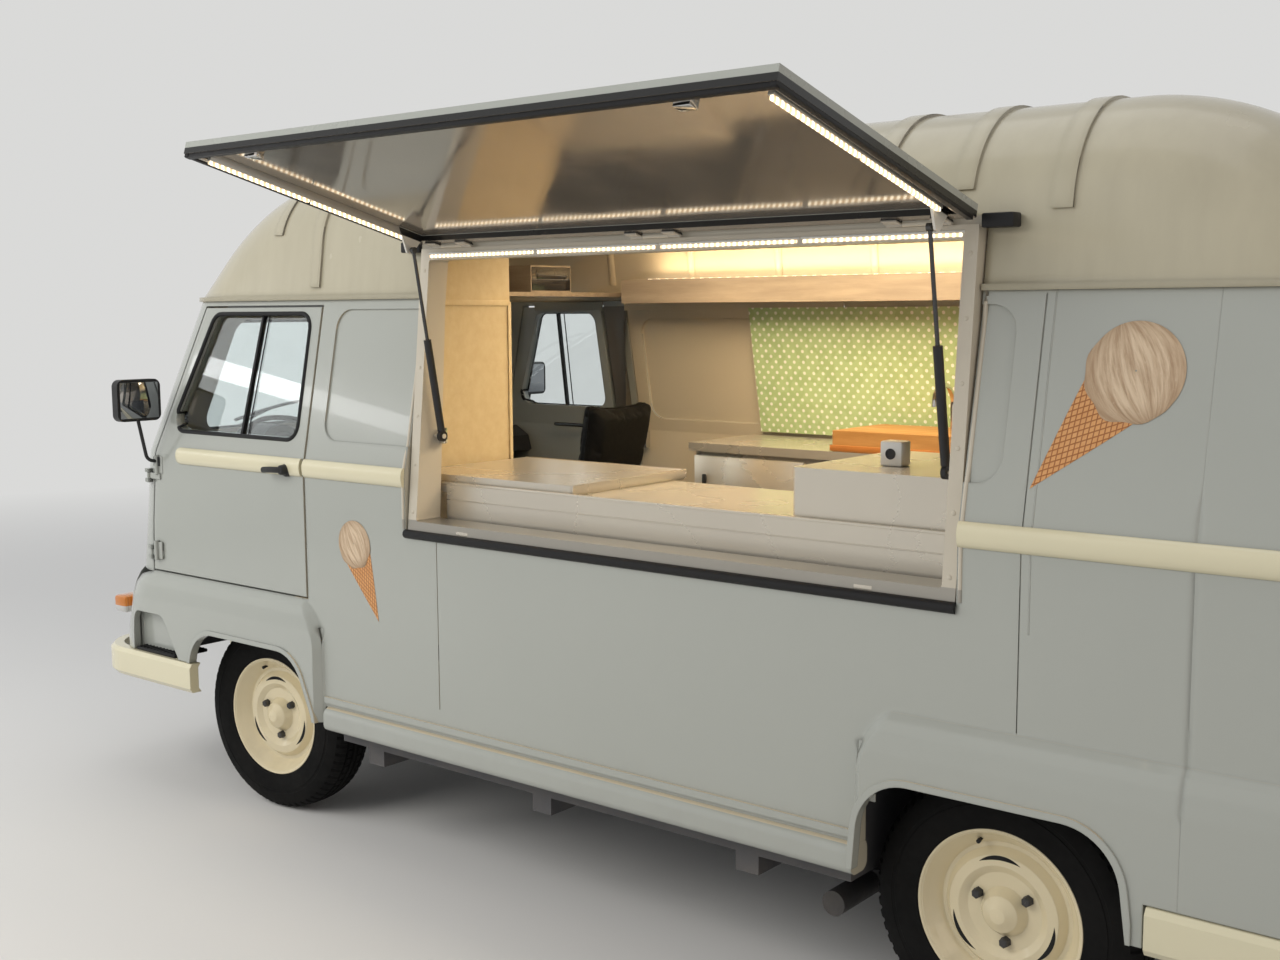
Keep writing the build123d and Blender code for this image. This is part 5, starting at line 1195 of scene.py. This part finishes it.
pads = [(0.362, 0.598, side * 0.788, side * 0.923, 0.4895, 0.5015) for side in SIDES]
ribs = [(x, x + 0.006, side * 0.795, side * 0.916, 0.5010, 0.5045) for side in SIDES for x in spaced(0.372, 0.58, 0.02)]
piece("step_pads", joined(boxes(*pads, bevel=0.004), boxes(*ribs, bevel=0.001)), "rubber")
lens_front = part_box("indicators")[1][0] - SHIFT.x
domes = [(lens_front - 0.030, lens_front + 0.046, side * 0.742, side * 0.838, 0.580, 0.642) for side in SIDES]
piece("indicator_domes", boxes(*domes, bevel=0.012), "indicator")
# Near-black sheet behind the grille bars: painted shade of the space behind them
piece("grille_painted_shade", boxes((0.700, 0.704, -0.400, 0.400, 0.796, 0.940)), "dark")
for hand, side in (("driver", 1), ("passenger", -1)):
    face = boxes((0.4225, 0.4245, side * 0.903, side * 1.047, 1.327, 1.449), bevel=0.0006)
    piece(hand + "_mirror_face", face, "mirror", hand + "_door")

# Wipers on the windscreen
wipers = []
nose_skin, glass_skin = skin_of("nose"), skin_of("windscreen")
for y0, y1 in ((0.42, 0.02), (-0.06, -0.46)):
    points, outs = end_line(glass_skin, 1, [(y0 + (y1 - y0) * t, 1.275 + 0.06 * sin(pi * t * 0.5))
                                            for t in spaced(0, 1, 0.1)])
    blade = [p + n * 0.008 for p, n in zip(points, outs)]
    root = end_line(nose_skin, 1, [(y0, 1.222)])[0][0] - SHIFT
    tip = blade[len(blade) // 2] - SHIFT
    wipers.append(sweep(blade, outs, flat(0.004, -0.007, 0.003)))
    wipers.append(tube([root - FORWARDS * 0.004, root + FORWARDS * 0.016, (root + tip) / 2 + Vector((0.014, 0, 0.008)),
                        tip + FORWARDS * 0.004], 0.0045, step=0.01))
piece("wipers", joined(*wipers), "plastic")

# Handles and hinges of the rear doors, and the lamps' rims
rear_skin = skin_of("left_rear_door", "right_rear_door", "tailgate", "rear_frame")


def rear_grip(skin_y, skin_z, places):
    """Bowed handle through (back, y, z) places, measured back from the skin, and the skin's place."""
    x = end_line(rear_skin, -1, [(skin_y, skin_z)])[0][0].x - SHIFT.x
    return tube([(x + back, y, z) for back, y, z in places], 0.008, step=0.006), x


grip, x = rear_grip(-0.06, 1.05, ((0.002, -0.060, 1.095), (-0.026, -0.060, 1.090), (-0.030, -0.060, 1.040),
                                  (-0.026, -0.060, 0.990), (0.002, -0.060, 0.985)))
plate = boxes((x - 0.004, x + 0.003, -0.078, -0.042, 0.970, 1.110))
piece("rear_door_handle", joined(grip, plate), "plastic", "right_rear_door")
grip, x = rear_grip(0.0, 1.205, ((0.002, -0.055, 1.205), (-0.024, -0.050, 1.205), (-0.028, 0.0, 1.205),
                                 (-0.024, 0.050, 1.205), (0.002, 0.055, 1.205)))
piece("tailgate_handle", grip, "plastic", "tailgate")
for body, side in (("left_rear_door", 1), ("right_rear_door", -1)):
    barrels = [tube([(REAR_HINGE[0], side * REAR_HINGE[1], z + k) for k in (-0.035, 0.035)], 0.0070)
               for z in (0.62, 1.02)]
    piece(body + "_hinges", joined(*barrels), "body", body)
tail_skin = skin_of("tail_lamps")
rims = []
for side in SIDES:
    outline = [(side * y, z) for y, z in ((0.772, 0.802), (0.868, 0.802), (0.868, 0.958), (0.772, 0.958))]
    rims.append(sweep(*end_line(tail_skin, -1, rounded(outline, 0.012)), oval(0.004, 0.004, 4), closed=True))
piece("tail_lamp_rims", joined(*rims), "chrome")


# Floor, light and camera

BACKDROP = (0.70, 0.70, 0.69)
FLOOR_COLOUR = (0.72, 0.71, 0.69)
FLOOR_REACH = 40.0
FLOOR_FADE = (4.0, 11.0)
TRUCK_MIDDLE = (-0.2, 0.0, 1.0)
WARM = (1.0, 0.80, 0.55)


def floor_mat():
    """Plain stage floor, seen far out at the backdrop's own brightness, so that no horizon shows."""
    look = Look("studio_floor_finish")
    mat = look.set(base=look.noise(0.8).blend(shaded(FLOOR_COLOUR, 0.985), FLOOR_COLOUR), rough=0.7)
    x, y, z = look.axes()
    plain = look.out("Emission", {"Color": BACKDROP})
    near = Value(look, look.surface.outputs[0])
    mix = look.out("MixShader", {0: reach(x, y).spread(*FLOOR_FADE) * look.seen_rays(), 1: near, 2: plain})
    look.feed(look.end.inputs["Surface"], mix)
    return mat


def stage_floor():
    """A wide plain floor."""
    mesh = bpy.data.meshes.new("studio_floor")
    corners = [(FLOOR_REACH * x, FLOOR_REACH * y, 0) for x, y in ((-1, -1), (1, -1), (1, 1), (-1, 1))]
    mesh.from_pydata(corners, [], [(0, 1, 2, 3)])
    mesh.materials.append(floor_mat())
    in_scene("studio_floor", mesh)


def lamp(name, place, target, size, watts, colour=(1.0, 1.0, 1.0), glossy=False, height=None):
    """Soft light pointed at a target, that the camera doesn't see."""
    data = bpy.data.lights.new(name, "AREA")
    data.shape = "RECTANGLE"
    data.size, data.size_y = size, height or size
    data.energy = watts
    data.color = colour
    obj = in_scene(name, data)
    obj.visible_camera = False
    obj.visible_glossy = glossy
    obj.location = place
    obj.rotation_euler = (Vector(target) - Vector(place)).to_track_quat("-Z", "Y").to_euler()
    return obj


def studio_world():
    """Soft even light, with a pale backdrop where the camera, metal and glass see it."""
    world = bpy.data.worlds.new("studio_world")
    bpy.context.scene.world = world
    world.use_nodes = True
    sky = Nodes(world.node_tree)
    even = sky.out("Background", {"Color": (0.92, 0.95, 1.0), "Strength": 0.44})
    backdrop = sky.out("Background", {"Color": BACKDROP, "Strength": 1.0})
    end = sky.tree.nodes.new("ShaderNodeOutputWorld")
    sky.feed(end.inputs[0], sky.out("MixShader", {0: sky.seen_rays(), 1: even, 2: backdrop}))


stage_floor()
studio_world()
lamp("key_light", (2.2, 5.5, 4.4), TRUCK_MIDDLE, 4.0, 205.0, (1.0, 0.985, 0.94))
lamp("fill_light", (-6.5, 2.0, 3.2), TRUCK_MIDDLE, 4.0, 58.0, (1.0, 0.80, 0.58), glossy=True)
lamp("top_light", (0.0, 0.0, 7.0), (0.0, 0.0, 0.0), 5.0, 55.0, glossy=True)
lamp("front_light", (6.0, 3.5, 3.0), TRUCK_MIDDLE, 3.0, 90.0)
lamp("strip_light", (6.0, 3.9, 2.5), TRUCK_MIDDLE, 2.6, 5.0, glossy=True, height=0.14)
lamp("load_space_light", at(-1.70, -0.10, 2.02), at(-1.70, -0.12, 1.0), 0.60, 17.0, WARM)
lamp("load_space_front_light", at(-0.95, -0.10, 2.02), at(-1.00, -0.30, 1.0), 0.50, 9.0, WARM)
shelf = at(-1.55, -0.700, 1.815)
shelf_light = lamp("shelf_light", shelf, shelf + UP, 2.15, 5.0, (1.0, 0.76, 0.46), height=0.04)
shelf_light.rotation_euler = (pi - 0.15, 0.0, 0.0)
lamp("hatch_light", at(-1.70, 0.62, 1.83), at(-1.70, 0.60, 1.0), 0.30, 6.0, (1.0, 0.84, 0.62))

# Camera as fitted to the photo: focal length in pixels of the photo's width, place and angles
PHOTO_FOCAL, PHOTO_WIDTH, SENSOR = 1447.93, 1280.0, 36.0
CAMERA_AT = (-3.99767, 3.72455, 1.67896)
PITCH, ROLL, YAW = 0.115929, -0.00544, -0.88903

camera_data = bpy.data.cameras.new("photo_camera")
camera_data.sensor_width = SENSOR
camera_data.lens = PHOTO_FOCAL / PHOTO_WIDTH * SENSOR
camera_data.clip_end = 200.0
camera = in_scene("photo_camera", camera_data)
look = Vector((cos(YAW) * cos(PITCH), sin(YAW) * cos(PITCH), -sin(PITCH)))
right = look.cross(UP).normalized()
above = right.cross(look)
rolled_right = right * cos(ROLL) + above * sin(ROLL)
rolled_above = above * cos(ROLL) - right * sin(ROLL)
turn = Matrix((rolled_right, rolled_above, -look)).transposed()
camera.matrix_world = Matrix.Translation(at(*CAMERA_AT)) @ turn.to_4x4()
bpy.context.scene.camera = camera
bpy.context.scene.view_settings.view_transform = "Standard"
